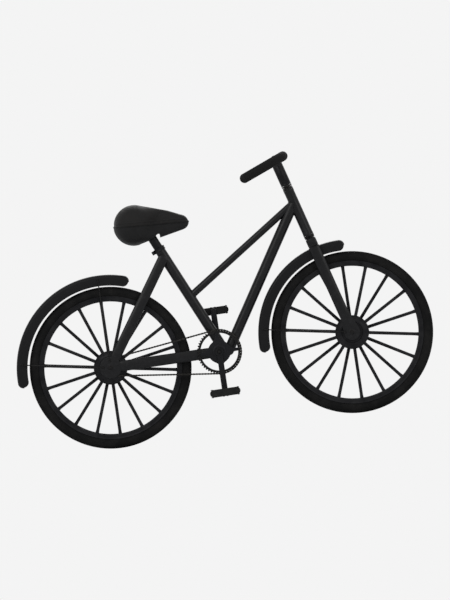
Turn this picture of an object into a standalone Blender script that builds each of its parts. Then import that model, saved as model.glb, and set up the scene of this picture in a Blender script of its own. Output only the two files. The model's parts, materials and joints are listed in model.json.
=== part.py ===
"""Step-through city bicycle with a coaster brake, piece by piece. Metres, +X forward, +Y left, +Z up.

The geometry is laid out from the rear axle line (x = 0) and the ground (z = 0), and the root empty
then moves the whole bicycle so that the world origin lies on the ground under its middle.
"""

import math

import bmesh
import bpy
from mathutils import Matrix, Vector

# Facets of round shapes
WHEEL_STEPS = 40
FLANGE_STEPS = 28
ROUND_STEPS = 20
SMALL_STEPS = 12

# Gaps, and how far a through cutter reaches
GAP = 0.0003
RUNNING_GAP = 0.0004
SLIDE_GAP = 0.0004
OVERCUT = 0.15

# Wheels: a 47-622 tyre on a single-wall rim
BEAD_SEAT_R = 0.311
TYRE_SECTION = 0.047
TYRE_WALL = 0.003
BEAD_WIDTH = 0.0036
BEAD_DEPTH = 0.004
RIM_DEPTH = 0.0184
RIM_LIP = 0.006
RIM_WIDTH = 0.030
RIM_WALL = 0.0025
SPOKES_PER_SIDE = 9
FIRST_SPOKE_DEG = 10
SPOKE_WIDTH = 0.0145
SPOKE_THICKNESS = 0.003
SPOKE_RIM_OFFSET = 0.004
FLANGE_R = 0.075
FLANGE_THICKNESS = 0.004
FLANGE_OFFSET = 0.032

# Hubs and axles
FRONT_HUB_R = 0.020
REAR_HUB_R = 0.028
HUB_BORE_R = 0.0095
AXLE_R = 0.005
CONE_R = 0.0085
CONE_LENGTH = 0.008
NUT_R = 0.0105
NUT_LENGTH = 0.010
FRONT_HUB_WIDTH = 0.084
REAR_HUB_WIDTH = 0.076
FRONT_AXLE_SPACE = 0.100
REAR_AXLE_SPACE = 0.120

# Frame layout
CRANK_TO_GUARD = 0.1776
HEAD_ANGLE_DEG = 74.2
SEAT_ANGLE_DEG = 65.55
SEAT_TUBE_SETFORWARD = 0.0247
DOWN_TUBE_SETFORWARD = 0.0428
HEAD_JOINT_RISE = 0.1587
TOP_TUBE_JOINT_Z = 0.6167
SEAT_STAY_JOINT_Z = 0.8103
SEAT_TUBE_TOP_Z = 0.848

# Tubes
SEAT_TUBE_R = 0.0228
SEAT_TUBE_WALL = 0.0024
DOWN_TUBE_R = 0.0229
TOP_TUBE_R = 0.016
TUBE_WALL = 0.0018
STAY_WALL = 0.0016
CHAIN_STAY_HEIGHT = 0.0475
CHAIN_STAY_WIDTH = 0.015
SEAT_STAY_HEIGHT = 0.0447
SEAT_STAY_WIDTH = 0.015
CHAIN_STAY_FRONT_OFFSET = 0.027
SEAT_STAY_TOP_OFFSET = 0.025
CHAIN_STAY_START = 0.036
SEAT_STAY_START = 0.044
BRIDGE_R = 0.008
BRIDGE_ABOVE_TYRE = 0.042
TYRE_TO_KICKSTAND_PLATE = 0.020
KICKSTAND_PLATE_TO_SHELL = 0.0366
KICKSTAND_PLATE_LENGTH = 0.044
KICKSTAND_PLATE_WIDTH = 0.064
KICKSTAND_PLATE_THICKNESS = 0.006
KICKSTAND_HOLE_R = 0.0055
DROPOUT_R = 0.048
DROPOUT_THICKNESS = 0.006
COLLAR_R = 0.0262
COLLAR_HEIGHT = 0.018
COLLAR_EAR = 0.012
COLLAR_EAR_ROOT = 0.002
COLLAR_EAR_WIDTH = 0.016

# Bottom bracket
SHELL_R = 0.027
SHELL_WIDTH = 0.073
SHELL_BORE_R = 0.018
LUG_R = 0.023
LUG_WIDTH = 0.050
CUP_FLANGE_R = 0.0225
CUP_FLANGE = 0.003
CUP_DEPTH = 0.018
SPINDLE_R = 0.0085

# Steering column, measured up the steering axis from the front axle
CROWN_ABOVE_GUARD = 0.0002
CROWN_HEIGHT = 0.042
LOWER_CUP_HEIGHT = 0.0145
HEAD_TUBE_LENGTH = 0.220
UPPER_CUP_HEIGHT = 0.0115
LOCK_NUT_HEIGHT = 0.010
STEM_HEIGHT = 0.120
HEAD_TUBE_R = 0.02315
HEAD_TUBE_BORE_R = 0.0205
STEERER_R = 0.0143
STEERER_WALL = 0.0022
QUILL_R = 0.0111
QUILL_LENGTH = 0.100
CROWN_DEPTH = 0.046
FORK_BLADE_DEPTH = 0.047
FORK_BLADE_WIDTH = 0.016
FORK_WALL = 0.0018
FORK_BLADE_START = 0.055
FORK_END_R = 0.022
FORK_AXLE_PAD_R = 0.036
FORK_END_LENGTH = 0.080
FORK_END_THICKNESS = 0.005

# Handlebar and grips
BAR_R = 0.0111
BAR_TILT_DEG = 21.7
BAR_SWEEP = 0.156
BAR_HALF_WIDTH = 0.285
BAR_SHAPE = ((0.0, 0.0), (0.0, 0.0702), (0.0, 0.1193), (0.0256, 0.1930), (0.0897, 0.2877),
             (0.1923, 0.4211), (0.2481, 0.5614), (0.1987, 0.7123), (0.0128, 0.8421), (-0.2885, 0.9263),
             (-0.6410, 0.9754), (-1.0, 1.0))
GRIP_R = 0.0219
GRIP_START = 0.105
CLAMP_R = 0.0225
CLAMP_WIDTH = 0.052

# Mudguards
GUARD_CENTRE_SHIFT = (-0.003, -0.001)
GUARD_CLEARANCE = 0.008
GUARD_HEIGHT = 0.047
GUARD_WIDTH = 0.060
GUARD_SHOULDER = 0.013
GUARD_WALL = 0.002
REAR_GUARD_DEG = (72.7, 181.5)
FRONT_GUARD_DEG = (89.8, 181.4)
GUARD_STAY_R = 0.0025
GUARD_STAY_DEPTH = 0.029
GUARD_STAY_FOOT = 0.032
GUARD_STAY_KNEE = 0.056
REAR_STAYS_DEG = (90, 170)
FRONT_STAY_DEG = 170

# Drive
CHAIN_PITCH = 0.0127
CHAINRING_TEETH = 48
SPROCKET_TEETH = 18
CHAIN_LINE = 0.046
TOOTH_THICKNESS = 0.0024
TOOTH_ABOVE_PITCH = 0.0020
TOOTH_BELOW_PITCH = 0.0040
CHAIN_HEIGHT = 0.009
CHAIN_WIDTH = 0.009
CHAIN_SLOT_WIDTH = 0.0042
CHAIN_SLOT_ABOVE_PITCH = 0.0031
CHAINRING_INNER_R = 0.0831
SPIDER_R = 0.051
SPIDER_THICKNESS = 0.0053
SPIDER_ARM_WIDTH = 0.014
SPROCKET_BORE_R = 0.0125
DRIVER_R = 0.020
CRANK_LENGTH = 0.181
CRANK_WIDTH = 0.0259
CRANK_THICKNESS = 0.014
CRANK_INNER = 0.0525
CRANK_BOSS_R = 0.019
CRANK_BOSS_INNER = 0.042
CRANK_BOSS_PROUD = 0.0015
SPIDER_ARM_OVERLAP = 0.008
DRIVER_PROUD = 0.003
PEDAL_LENGTH = 0.1388
PEDAL_HEIGHT = 0.0375
PEDAL_WIDTH = 0.095
PEDAL_INNER = 0.0725
PEDAL_SPINDLE_R = 0.0065
PEDAL_SPINDLE_COLLAR = 0.0035
PEDAL_SPINDLE_GAP = 0.002
PEDAL_CAP = 0.006
PEDAL_WINDOW_LENGTH = 0.034
PEDAL_WINDOW_WIDTH = 0.068
PEDAL_WINDOW_X = 0.033
BRAKE_ARM_LENGTH = 0.125
BRAKE_ARM_INNER = 0.0425
BRAKE_ARM_THICKNESS = 0.003
BRAKE_ARM_WIDTH = 0.018

# Seat post and saddle
POST_R = 0.020
POST_WALL = 0.002
POST_LENGTH = 0.320
POST_SHOULDER = 0.004
POST_CAP = 0.006
POST_NECK_R = 0.012
POST_NECK_LENGTH = 0.016
POST_TOP_Z = 0.915
RAIL_HEIGHT = 0.0195
RAIL_SETBACK = 0.0086
CLAMP_SIZE = (0.0285, 0.064, 0.056)
CLAMP_ABOVE_RAILS = 0.0085
CLAMP_SHIFT = 0.003
CLAMP_MOUTH_RISE = 0.005
RAIL_R = 0.0035
RAIL_SPREAD = 0.022
RAIL_SHAPE = ((-0.036, 0.047, 0.0217), (-0.020, 0.041, 0.016), (0.014, 0.024, 0.0), (0.032, 0.022, 0.0),
              (0.060, 0.018, 0.0), (0.100, 0.013, 0.001), (0.132, 0.010, 0.010), (0.160, 0.007, 0.0195),
              (0.174, 0.0, 0.0205))
SADDLE_BACK = (-0.0566, 0.0292)
SADDLE_NOSE = (0.1511, 0.0166)
SADDLE_BACK_R = 0.090
SADDLE_NOSE_R = 0.0369
SADDLE_HALF_WIDTH = 0.105
SADDLE_NOSE_HALF_WIDTH = 0.031
SADDLE_BASE_INSET = 0.006
SADDLE_BASE_WALL = 0.003
SADDLE_SLOT = (0.130, 0.074, 0.065)
SADDLE_SLOT_SHIFT = 0.020
SADDLE_SLOT_DROP = 0.020
SADDLE_WAIST_START = 0.010
SADDLE_WAIST_LENGTH = 0.120
SADDLE_BACK_ROUNDING = 0.075
SADDLE_NOSE_ROUNDING = 0.030
SADDLE_STATIONS = 13

# Values worked out from the driving dimensions
TYRE_R = BEAD_SEAT_R + TYRE_SECTION
RIM_INNER_R = BEAD_SEAT_R - RIM_DEPTH
RIM_LIP_R = BEAD_SEAT_R + RIM_LIP
GUARD_INNER_R = TYRE_R + GUARD_CLEARANCE
GUARD_OUTER_R = GUARD_INNER_R + GUARD_HEIGHT
GUARD_STAY_TOP = GUARD_INNER_R + GUARD_STAY_DEPTH
BRIDGE_DISTANCE = TYRE_R + BRIDGE_ABOVE_TYRE
KICKSTAND_PLATE_X = TYRE_R + TYRE_TO_KICKSTAND_PLATE + KICKSTAND_PLATE_LENGTH / 2
CHAIN_STAY_LENGTH = KICKSTAND_PLATE_X + KICKSTAND_PLATE_LENGTH / 2 + KICKSTAND_PLATE_TO_SHELL + SHELL_R
WHEELBASE = CHAIN_STAY_LENGTH + CRANK_TO_GUARD + GUARD_OUTER_R - GUARD_CENTRE_SHIFT[0]
AXLE_HEIGHT = TYRE_R
REAR_AXLE = Vector((0, 0, AXLE_HEIGHT))
FRONT_AXLE = Vector((WHEELBASE, 0, AXLE_HEIGHT))
CRANK_CENTRE = Vector((CHAIN_STAY_LENGTH, 0, AXLE_HEIGHT))
STEER_AXIS = Vector((-math.cos(math.radians(HEAD_ANGLE_DEG)), 0, math.sin(math.radians(HEAD_ANGLE_DEG))))
SEAT_AXIS = Vector((-math.cos(math.radians(SEAT_ANGLE_DEG)), 0, math.sin(math.radians(SEAT_ANGLE_DEG))))
CROWN_BOTTOM = GUARD_OUTER_R + CROWN_ABOVE_GUARD
CROWN_TOP = CROWN_BOTTOM + CROWN_HEIGHT
HEAD_BOTTOM = CROWN_TOP + LOWER_CUP_HEIGHT
HEAD_JOINT = HEAD_BOTTOM + HEAD_JOINT_RISE
HEAD_TOP = HEAD_BOTTOM + HEAD_TUBE_LENGTH
LOCK_NUT_BOTTOM = HEAD_TOP + UPPER_CUP_HEIGHT
STEM_BOTTOM = LOCK_NUT_BOTTOM + LOCK_NUT_HEIGHT
BAR_HEIGHT = STEM_BOTTOM + STEM_HEIGHT
BAR_LINE = [(forward * BAR_SWEEP, sideways * BAR_HALF_WIDTH) for forward, sideways in BAR_SHAPE]
CHAINRING_PITCH_R = CHAIN_PITCH / 2 / math.sin(math.pi / CHAINRING_TEETH)
SPROCKET_PITCH_R = CHAIN_PITCH / 2 / math.sin(math.pi / SPROCKET_TEETH)
DROPOUT_Y = REAR_AXLE_SPACE / 2 + DROPOUT_THICKNESS / 2
FORK_END_Y = FRONT_AXLE_SPACE / 2 + FORK_END_THICKNESS / 2
PEDAL_REACH = PEDAL_INNER + PEDAL_WIDTH + OVERCUT
FRONT_REACH = WHEELBASE + TYRE_R
BACK_REACH = GUARD_CENTRE_SHIFT[0] - GUARD_OUTER_R
MIDDLE_X = (FRONT_REACH + BACK_REACH) / 2
SIDES = (("left", 1), ("right", -1))

FINISHES = {
    "paint": ((0.010, 0.010, 0.011), 0.35, 0.0),
    "rubber": ((0.012, 0.012, 0.012), 0.80, 0.0),
    "alloy": ((0.020, 0.020, 0.021), 0.40, 0.9),
    "steel": ((0.025, 0.025, 0.027), 0.35, 1.0),
    "plastic": ((0.012, 0.012, 0.013), 0.45, 0.0),
    "vinyl": ((0.013, 0.012, 0.012), 0.60, 0.0),
}


# Scene and objects

for old in list(bpy.data.objects):
    bpy.data.objects.remove(old, do_unlink=True)
PARTS = bpy.data.collections.new("bicycle")
CUTTERS = bpy.data.collections.new("cutters")
for made in (PARTS, CUTTERS):
    bpy.context.scene.collection.children.link(made)


def empty(name, place, parent=None):
    """An empty at a joint's axis, for the moving pieces to be parented to."""
    obj = bpy.data.objects.new(name, None)
    obj.empty_display_size = 0.05
    PARTS.objects.link(obj)
    obj.matrix_world = place
    if parent:
        bpy.context.view_layer.update()
        obj.parent = parent
        obj.matrix_parent_inverse = parent.matrix_world.inverted()
    return obj


def baked(obj):
    """Replace an object's mesh by its evaluated one, with doubles merged and faces turned outwards."""
    bpy.context.view_layer.update()
    graph = bpy.context.evaluated_depsgraph_get()
    mesh = bpy.data.meshes.new_from_object(obj.evaluated_get(graph))
    work = bmesh.new()
    work.from_mesh(mesh)
    bmesh.ops.remove_doubles(work, verts=work.verts, dist=1e-6)
    bmesh.ops.recalc_face_normals(work, faces=work.faces)
    work.to_mesh(mesh)
    work.free()
    name, place = obj.name, obj.matrix_world.copy()
    bpy.data.objects.remove(obj)
    return shape(name, mesh, place)


def shape(name, mesh, place=Matrix()):
    """A mesh object in the parts collection."""
    obj = bpy.data.objects.new(name, mesh)
    PARTS.objects.link(obj)
    obj.matrix_world = place
    return obj


def boolean(obj, other, operation):
    """Bake a union or a cut of another object into this one, and drop the other."""
    modifier = obj.modifiers.new(operation.lower(), "BOOLEAN")
    modifier.operation = operation
    modifier.object = other
    result = baked(obj)
    bpy.data.objects.remove(other)
    return result


def united(obj, *others):
    for other in others:
        obj = boolean(obj, other, "UNION")
    return obj


def cut(obj, *others):
    for other in others:
        obj = boolean(obj, other, "DIFFERENCE")
    return obj


def coped(obj, *cutters):
    """Cut a piece back from its neighbours with live modifiers."""
    for cutter in cutters:
        modifier = obj.modifiers.new(cutter.name, "BOOLEAN")
        modifier.operation = "DIFFERENCE"
        modifier.object = cutter
    return obj


def as_cutter(obj):
    PARTS.objects.unlink(obj)
    CUTTERS.objects.link(obj)
    obj.hide_render = True
    obj.display_type = "WIRE"
    obj.parent = BICYCLE
    return obj


def piece(obj, finish, parent):
    """Give a finished piece its material, its smooth shading and the empty that carries it."""
    colour, roughness, metallic = FINISHES[finish]
    material = bpy.data.materials.new(obj.name + "_" + finish)
    material.use_nodes = True
    shader = material.node_tree.nodes["Principled BSDF"]
    shader.inputs["Base Color"].default_value = (*colour, 1)
    shader.inputs["Roughness"].default_value = roughness
    shader.inputs["Metallic"].default_value = metallic
    obj.data.materials.clear()
    obj.data.materials.append(material)
    obj.data.shade_smooth()
    obj.data.set_sharp_from_angle(angle=math.radians(35))
    obj.parent = parent
    obj.matrix_parent_inverse = parent.matrix_world.inverted()
    return obj


# Placing

def along(start, direction, across=(0, 1, 0)):
    """A frame at a point with local Z along a direction and local Y as near as can be to another."""
    z = Vector(direction).normalized()
    x = Vector(across).cross(z).normalized()
    y = z.cross(x)
    return Matrix.Translation(start) @ Matrix((x, y, z)).transposed().to_4x4()


def wheel_frame(centre):
    """Local Z along the axle to the left, local Y straight up."""
    return along(centre, (0, 1, 0), (0, 0, 1))


def side_frame(y):
    """Local X forward and local Y up, for outlines drawn in the side view."""
    return Matrix(((1, 0, 0, 0), (0, 0, -1, y), (0, 1, 0, 0), (0, 0, 0, 1)))


def polar(centre, radius, degrees, y=0.0):
    angle = math.radians(degrees)
    return Vector((centre[0] + radius * math.cos(angle), y, centre[2] + radius * math.sin(angle)))


def steer(distance):
    """A point on the steering axis, this far up from the front axle."""
    return FRONT_AXLE + STEER_AXIS * distance


def seat_axis(height):
    """The point of the seat tube's axis at a height above the ground."""
    foot = CRANK_CENTRE + Vector((SEAT_TUBE_SETFORWARD, 0, 0))
    return foot + SEAT_AXIS * ((height - foot.z) / SEAT_AXIS.z)


# Basic shapes

def turned(name, profile, place, steps=ROUND_STEPS, flatten=1.0):
    """A profile of (radius, height) points turned about local Z. It closes itself off the axis."""
    mesh = bpy.data.meshes.new(name)
    count = len(profile)
    last = count if profile[0][0] > 0 else count - 1
    edges = [(i, (i + 1) % count) for i in range(last)]
    mesh.from_pydata([(r, 0, h) for r, h in profile], edges, [])
    obj = shape(name, mesh)
    screw = obj.modifiers.new("turn", "SCREW")
    screw.steps = steps
    screw.render_steps = steps
    screw.use_merge_vertices = True
    screw.merge_threshold = 1e-6
    obj = baked(obj)
    obj.data.transform(Matrix.Diagonal((1, flatten, 1, 1)))
    obj.matrix_world = place
    return obj


def rod(name, start, end, radius, steps=SMALL_STEPS, across=(0, 1, 0)):
    length = (Vector(end) - Vector(start)).length
    profile = [(0, length), (radius, length), (radius, 0), (0, 0)]
    return turned(name, profile, along(start, Vector(end) - Vector(start), across), steps)


def cross_rod(name, centre, radius, low, high, steps=SMALL_STEPS):
    """A rod along Y through a point of the side view, from one y to another."""
    start = Vector((centre[0], low, centre[2]))
    return rod(name, start, start + Vector((0, high - low, 0)), radius, steps, (0, 0, 1))


def tube(name, start, end, radius, wall, steps=ROUND_STEPS):
    """A hollow round tube, open at both ends."""
    length = (Vector(end) - Vector(start)).length
    inner = radius - wall
    profile = [(radius, length), (radius, 0), (inner, 0), (inner, length)]
    return turned(name, profile, along(start, Vector(end) - Vector(start)), steps)


def oval_tube(name, start, end, height, width, wall):
    """A hollow oval tube, open at both ends, its height in the side view and its width across."""
    start, end = Vector(start), Vector(end)
    loops = [[(x * (height / 2 - inset), y * (width / 2 - inset)) for x, y in circle((0, 0), 1, ROUND_STEPS)]
             for inset in (0, wall)]
    return extruded(name, loops, (end - start).length, along((start + end) / 2, end - start))


def block(name, size, place):
    work = bmesh.new()
    bmesh.ops.create_cube(work, size=1, matrix=Matrix.Diagonal((*size, 1)))
    mesh = bpy.data.meshes.new(name)
    work.to_mesh(mesh)
    work.free()
    return shape(name, mesh, place)


def extruded(name, loops, depth, place):
    """Closed outlines in a frame's XY plane, the inner ones as holes, extruded both ways along Z."""
    curve = bpy.data.curves.new(name, "CURVE")
    curve.dimensions = "2D"
    curve.fill_mode = "BOTH"
    curve.extrude = depth / 2
    for loop in loops:
        spline = curve.splines.new("POLY")
        spline.points.add(len(loop) - 1)
        for point, (x, y) in zip(spline.points, loop):
            point.co = (x, y, 0, 1)
        spline.use_cyclic_u = True
    obj = bpy.data.objects.new(name, curve)
    PARTS.objects.link(obj)
    obj.matrix_world = place
    return baked(obj)


def plate(name, loops, low, high):
    """Closed (x, z) outlines, the inner ones as holes, extruded from one y to another."""
    return extruded(name, loops, high - low, side_frame((low + high) / 2))


def wire(name, points, radius, resolution=2, smooth=False):
    """A round wire with filled ends through the points, bent smoothly where asked."""
    curve = bpy.data.curves.new(name, "CURVE")
    curve.dimensions = "3D"
    curve.bevel_depth = radius
    curve.bevel_resolution = resolution
    curve.use_fill_caps = True
    curve.resolution_u = 2
    curve.twist_mode = "MINIMUM"
    if smooth:
        spline = curve.splines.new("BEZIER")
        spline.bezier_points.add(len(points) - 1)
        for knot, point in zip(spline.bezier_points, points):
            knot.co = point
            knot.handle_left_type = "AUTO"
            knot.handle_right_type = "AUTO"
    else:
        spline = curve.splines.new("POLY")
        spline.points.add(len(points) - 1)
        for knot, point in zip(spline.points, points):
            knot.co = (*point, 1)
    obj = bpy.data.objects.new(name, curve)
    PARTS.objects.link(obj)
    return baked(obj)


def loft(name, rings):
    """A closed body through rings of equal point count, with flat ends."""
    work = bmesh.new()
    rows = [[work.verts.new(point) for point in ring] for ring in rings]
    for one, two in zip(rows, rows[1:]):
        for i in range(len(one)):
            j = (i + 1) % len(one)
            work.faces.new((one[i], one[j], two[j], two[i]))
    work.faces.new(rows[0])
    work.faces.new(rows[-1])
    mesh = bpy.data.meshes.new(name)
    work.to_mesh(mesh)
    work.free()
    return baked(shape(name, mesh))


# Outlines in the side view

def arc(centre, radius, start, end, segments):
    """Points of an arc in (x, z), its angles in degrees."""
    turns = (start + (end - start) * i / segments for i in range(segments + 1))
    return [(centre[0] + radius * math.cos(math.radians(a)), centre[1] + radius * math.sin(math.radians(a)))
            for a in turns]


def circle(centre, radius, segments):
    return arc(centre, radius, 0, 360, segments)[:-1]


def belt(first, first_r, second, second_r, segments):
    """The outline of a belt round two circles, given in (x, z), the first one behind the second."""
    dx, dz = second[0] - first[0], second[1] - first[1]
    heading = math.degrees(math.atan2(dz, dx))
    lean = math.degrees(math.acos((first_r - second_r) / math.hypot(dx, dz)))
    front = arc(second, second_r, heading - lean, heading + lean, segments)
    back = arc(first, first_r, heading + lean, heading + 360 - lean, segments)
    return front + back


def toothed(centre, pitch_r, teeth):
    """The outline of a chainring or sprocket, one flat-topped tooth for each pitch."""
    outline = []
    step = 360 / teeth
    tip = pitch_r + TOOTH_ABOVE_PITCH
    root = pitch_r - TOOTH_BELOW_PITCH
    for tooth in range(teeth):
        for share, radius in ((-0.5, root), (-0.15, tip), (0.15, tip)):
            angle = math.radians(step * (tooth + share))
            outline.append((centre[0] + radius * math.cos(angle), centre[2] + radius * math.sin(angle)))
    return outline


def xz(point):
    return (point[0], point[2])


# Wheels

def tyre(name, centre):
    """A C-shaped section, open towards the rim, with a bead on each side of the well."""
    section_r = TYRE_SECTION / 2
    centre_r = TYRE_R - section_r
    shoulder_r = RIM_LIP_R + GAP * 2
    inside_r = section_r - TYRE_WALL
    bead_y = RIM_WIDTH / 2 - RIM_WALL - GAP
    bead_r = BEAD_SEAT_R - BEAD_DEPTH
    outer_end = math.degrees(math.acos((shoulder_r - centre_r) / section_r))
    inner_end = math.degrees(math.asin((bead_y - BEAD_WIDTH) / inside_r))
    inner_end = 180 - inner_end
    outer = arc((centre_r, 0), section_r, outer_end, -outer_end, 6)
    inner = arc((centre_r, 0), inside_r, -inner_end, inner_end, 3)
    beads = [(shoulder_r, -bead_y), (bead_r, -bead_y), (bead_r, BEAD_WIDTH - bead_y)]
    far_beads = [(bead_r, bead_y - BEAD_WIDTH), (bead_r, bead_y), (shoulder_r, bead_y)]
    return turned(name, outer + beads + inner + far_beads, wheel_frame(centre), WHEEL_STEPS)


def rim(name, centre):
    """A single-wall channel, open towards the tyre."""
    half = RIM_WIDTH / 2
    floor_half = half - 0.003
    inner = half - RIM_WALL
    floor_r = RIM_INNER_R + RIM_WALL
    profile = [(RIM_LIP_R, half), (RIM_LIP_R, inner), (BEAD_SEAT_R - BEAD_DEPTH - 0.001, inner),
               (floor_r, floor_half - RIM_WALL)]
    outside = [(RIM_INNER_R, -floor_half), (RIM_INNER_R, floor_half)]
    mirrored = [(r, -y) for r, y in reversed(profile)]
    return turned(name, profile + mirrored + outside, wheel_frame(centre), WHEEL_STEPS)


def spoke_set(name, centre, side, hub_r):
    """One hub flange with its nine bladed spokes."""
    flange_y = side * FLANGE_OFFSET
    half = FLANGE_THICKNESS / 2
    bore = hub_r + GAP
    profile = [(FLANGE_R, flange_y + half), (FLANGE_R, flange_y - half), (bore, flange_y - half),
               (bore, flange_y + half)]
    flange = turned(name, profile, wheel_frame(centre), FLANGE_STEPS)
    start_r = FLANGE_R - 0.012
    end_r = RIM_INNER_R * math.cos(math.pi / WHEEL_STEPS) - GAP * 2
    work = bmesh.new()
    for spoke in range(SPOKES_PER_SIDE):
        degrees = FIRST_SPOKE_DEG + (2 * spoke + (side < 0)) * 180 / SPOKES_PER_SIDE
        start = polar(centre, start_r, degrees, flange_y)
        end = polar(centre, end_r, degrees, side * SPOKE_RIM_OFFSET)
        size = (SPOKE_WIDTH, SPOKE_THICKNESS, (end - start).length)
        place = along((start + end) / 2, end - start) @ Matrix.Diagonal((*size, 1))
        bmesh.ops.create_cube(work, size=1, matrix=place)
    mesh = bpy.data.meshes.new("blades")
    work.to_mesh(mesh)
    work.free()
    return united(flange, shape("blades", mesh))


def hub(name, centre, radius, width):
    """The barrel between and through the two flanges, bored for the axle."""
    half = width / 2
    profile = [(radius, half), (radius, -half), (HUB_BORE_R, -half), (HUB_BORE_R, half)]
    return turned(name, profile, wheel_frame(centre), ROUND_STEPS)


def axle(name, centre, hub_width, space, end_thickness):
    """The axle with its cones, lock nuts against the frame ends and axle nuts outside them."""
    cone_end = hub_width / 2 - CONE_LENGTH
    inside = space / 2 - GAP
    outside = space / 2 + end_thickness + GAP
    half = [(AXLE_R, cone_end), (CONE_R, cone_end), (CONE_R, inside), (AXLE_R, inside),
            (AXLE_R, outside), (NUT_R, outside), (NUT_R, outside + NUT_LENGTH), (0, outside + NUT_LENGTH)]
    profile = [(r, y) for r, y in reversed(half)] + [(r, -y) for r, y in half]
    return turned(name, profile, wheel_frame(centre), SMALL_STEPS)


def wheel(prefix, centre, hub_r, hub_width, carrier):
    piece(tyre(prefix + "_tyre", centre), "rubber", carrier)
    piece(rim(prefix + "_rim", centre), "alloy", carrier)
    piece(hub(prefix + "_hub", centre, hub_r, hub_width), "alloy", carrier)
    for word, side in SIDES:
        piece(spoke_set(prefix + "_spokes_" + word, centre, side, hub_r), "alloy", carrier)


# Mudguards

def guard_block(name, centre, span, depth_in, wall):
    """A curved channel's outside (wall 0) or the hollow to cut from it (its wall)."""
    outer = GUARD_OUTER_R - wall
    inner = GUARD_INNER_R - depth_in
    middle = (GUARD_OUTER_R + GUARD_INNER_R) / 2
    cap_r = GUARD_HEIGHT / 2 - wall
    sweep = 90 if wall else 180
    end_cap = guard_cap(centre, middle, cap_r, span[1], sweep, 1)
    start_cap = guard_cap(centre, middle, cap_r, span[0], sweep, -1)
    if wall:
        end_cap.append(shifted_in(end_cap[-1], centre, span[1], middle - inner))
        start_cap.append(shifted_in(start_cap[-1], centre, span[0], middle - inner))
        inner_arc = []
    else:
        inner_arc = arc(xz(centre), inner, span[1], span[0], 14)[1:-1]
    outer_arc = arc(xz(centre), outer, span[0], span[1], 14)[1:-1]
    outline = outer_arc + end_cap + inner_arc + start_cap[::-1]
    half = GUARD_WIDTH / 2 - wall
    obj = plate(name, [outline], -half, half)
    work = bmesh.new()
    work.from_mesh(obj.data)
    rounded = [e for e in work.edges if e.calc_face_angle() > 1
               and all(is_shoulder(v.co, centre, half, middle) for v in e.verts)
               and e.verts[0].co.z * e.verts[1].co.z > 0]
    bmesh.ops.bevel(work, geom=rounded, offset=GUARD_SHOULDER - wall / 2, segments=2, profile=0.5,
                    affect="EDGES")
    work.to_mesh(obj.data)
    work.free()
    return obj


def guard_cap(centre, middle, cap_r, degrees, sweep, turn):
    """Points of a guard's rounded end, from its outer arc round towards the wheel."""
    angle = math.radians(degrees)
    outward = Vector((math.cos(angle), math.sin(angle)))
    onward = Vector((-math.sin(angle), math.cos(angle))) * turn
    hub_point = Vector(xz(centre))
    steps = max(3, round(sweep / 26))
    turns = (math.radians(sweep * i / steps) for i in range(steps + 1))
    return [tuple(hub_point + outward * (middle + cap_r * math.cos(t)) + onward * cap_r * math.sin(t))
            for t in turns]


def shifted_in(point, centre, degrees, distance):
    """A point moved towards the hub along a radius."""
    angle = math.radians(degrees)
    return (point[0] - distance * math.cos(angle), point[1] - distance * math.sin(angle))


def is_shoulder(co, centre, half, middle):
    """Whether a corner of the guard lies on the outer edge of one of its side faces."""
    radius = math.hypot(co.x - centre[0], co.y - centre[2])
    return abs(abs(co.z) - half) < 1e-5 and radius > middle + GUARD_HEIGHT / 5


def mudguard(name, hub_centre, span, stay_angles):
    centre = hub_centre + Vector((GUARD_CENTRE_SHIFT[0], 0, GUARD_CENTRE_SHIFT[1]))
    guard = guard_block(name, centre, span, 0, 0)
    hollow = guard_block("hollow", centre, span, 0.020, GUARD_WALL)
    guard = cut(guard, hollow)
    for degrees in stay_angles:
        hole = polar(hub_centre, GUARD_STAY_TOP, degrees)
        guard = cut(guard, cross_rod("hole", hole, GUARD_STAY_R + RUNNING_GAP * 2, -0.05, 0.05))
    return guard


def guard_stay(name, hub_centre, degrees, foot_y):
    """One bent wire, up one side, through the guard's walls above the tyre and down the other side."""
    beside = GUARD_WIDTH / 2 + GUARD_STAY_R + 0.002
    side = [polar(hub_centre, GUARD_STAY_FOOT, degrees, foot_y),
            polar(hub_centre, GUARD_STAY_KNEE, degrees, foot_y),
            polar(hub_centre, GUARD_STAY_TOP - 0.006, degrees, beside),
            polar(hub_centre, GUARD_STAY_TOP - 0.0015, degrees, beside - 0.0015),
            polar(hub_centre, GUARD_STAY_TOP, degrees, beside - 0.006)]
    other = [Vector((p.x, -p.y, p.z)) for p in reversed(side)]
    return wire(name, side + other, GUARD_STAY_R)


# Frame

def chain_stay_line(side):
    """Both ends of a chain stay: at the dropout and beside the bottom bracket."""
    foot = REAR_AXLE + Vector((0, side * DROPOUT_Y, 0))
    end = CRANK_CENTRE + Vector((0, side * CHAIN_STAY_FRONT_OFFSET, 0))
    return foot, end


def chain_stay(name, side):
    foot, end = chain_stay_line(side)
    start = foot + (end - foot).normalized() * CHAIN_STAY_START
    return oval_tube(name, start, end, CHAIN_STAY_HEIGHT, CHAIN_STAY_WIDTH, STAY_WALL)


def seat_stay_line(side):
    """Both ends of a seat stay: beside the dropout and beside the seat tube."""
    top = seat_axis(SEAT_STAY_JOINT_Z) + Vector((0, side * SEAT_STAY_TOP_OFFSET, 0))
    foot = REAR_AXLE + Vector((0, side * DROPOUT_Y, 0))
    return foot, top


def seat_stay(name, side):
    foot, top = seat_stay_line(side)
    start = foot + (top - foot).normalized() * SEAT_STAY_START
    return oval_tube(name, start, top, SEAT_STAY_HEIGHT, SEAT_STAY_WIDTH, STAY_WALL)


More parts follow.
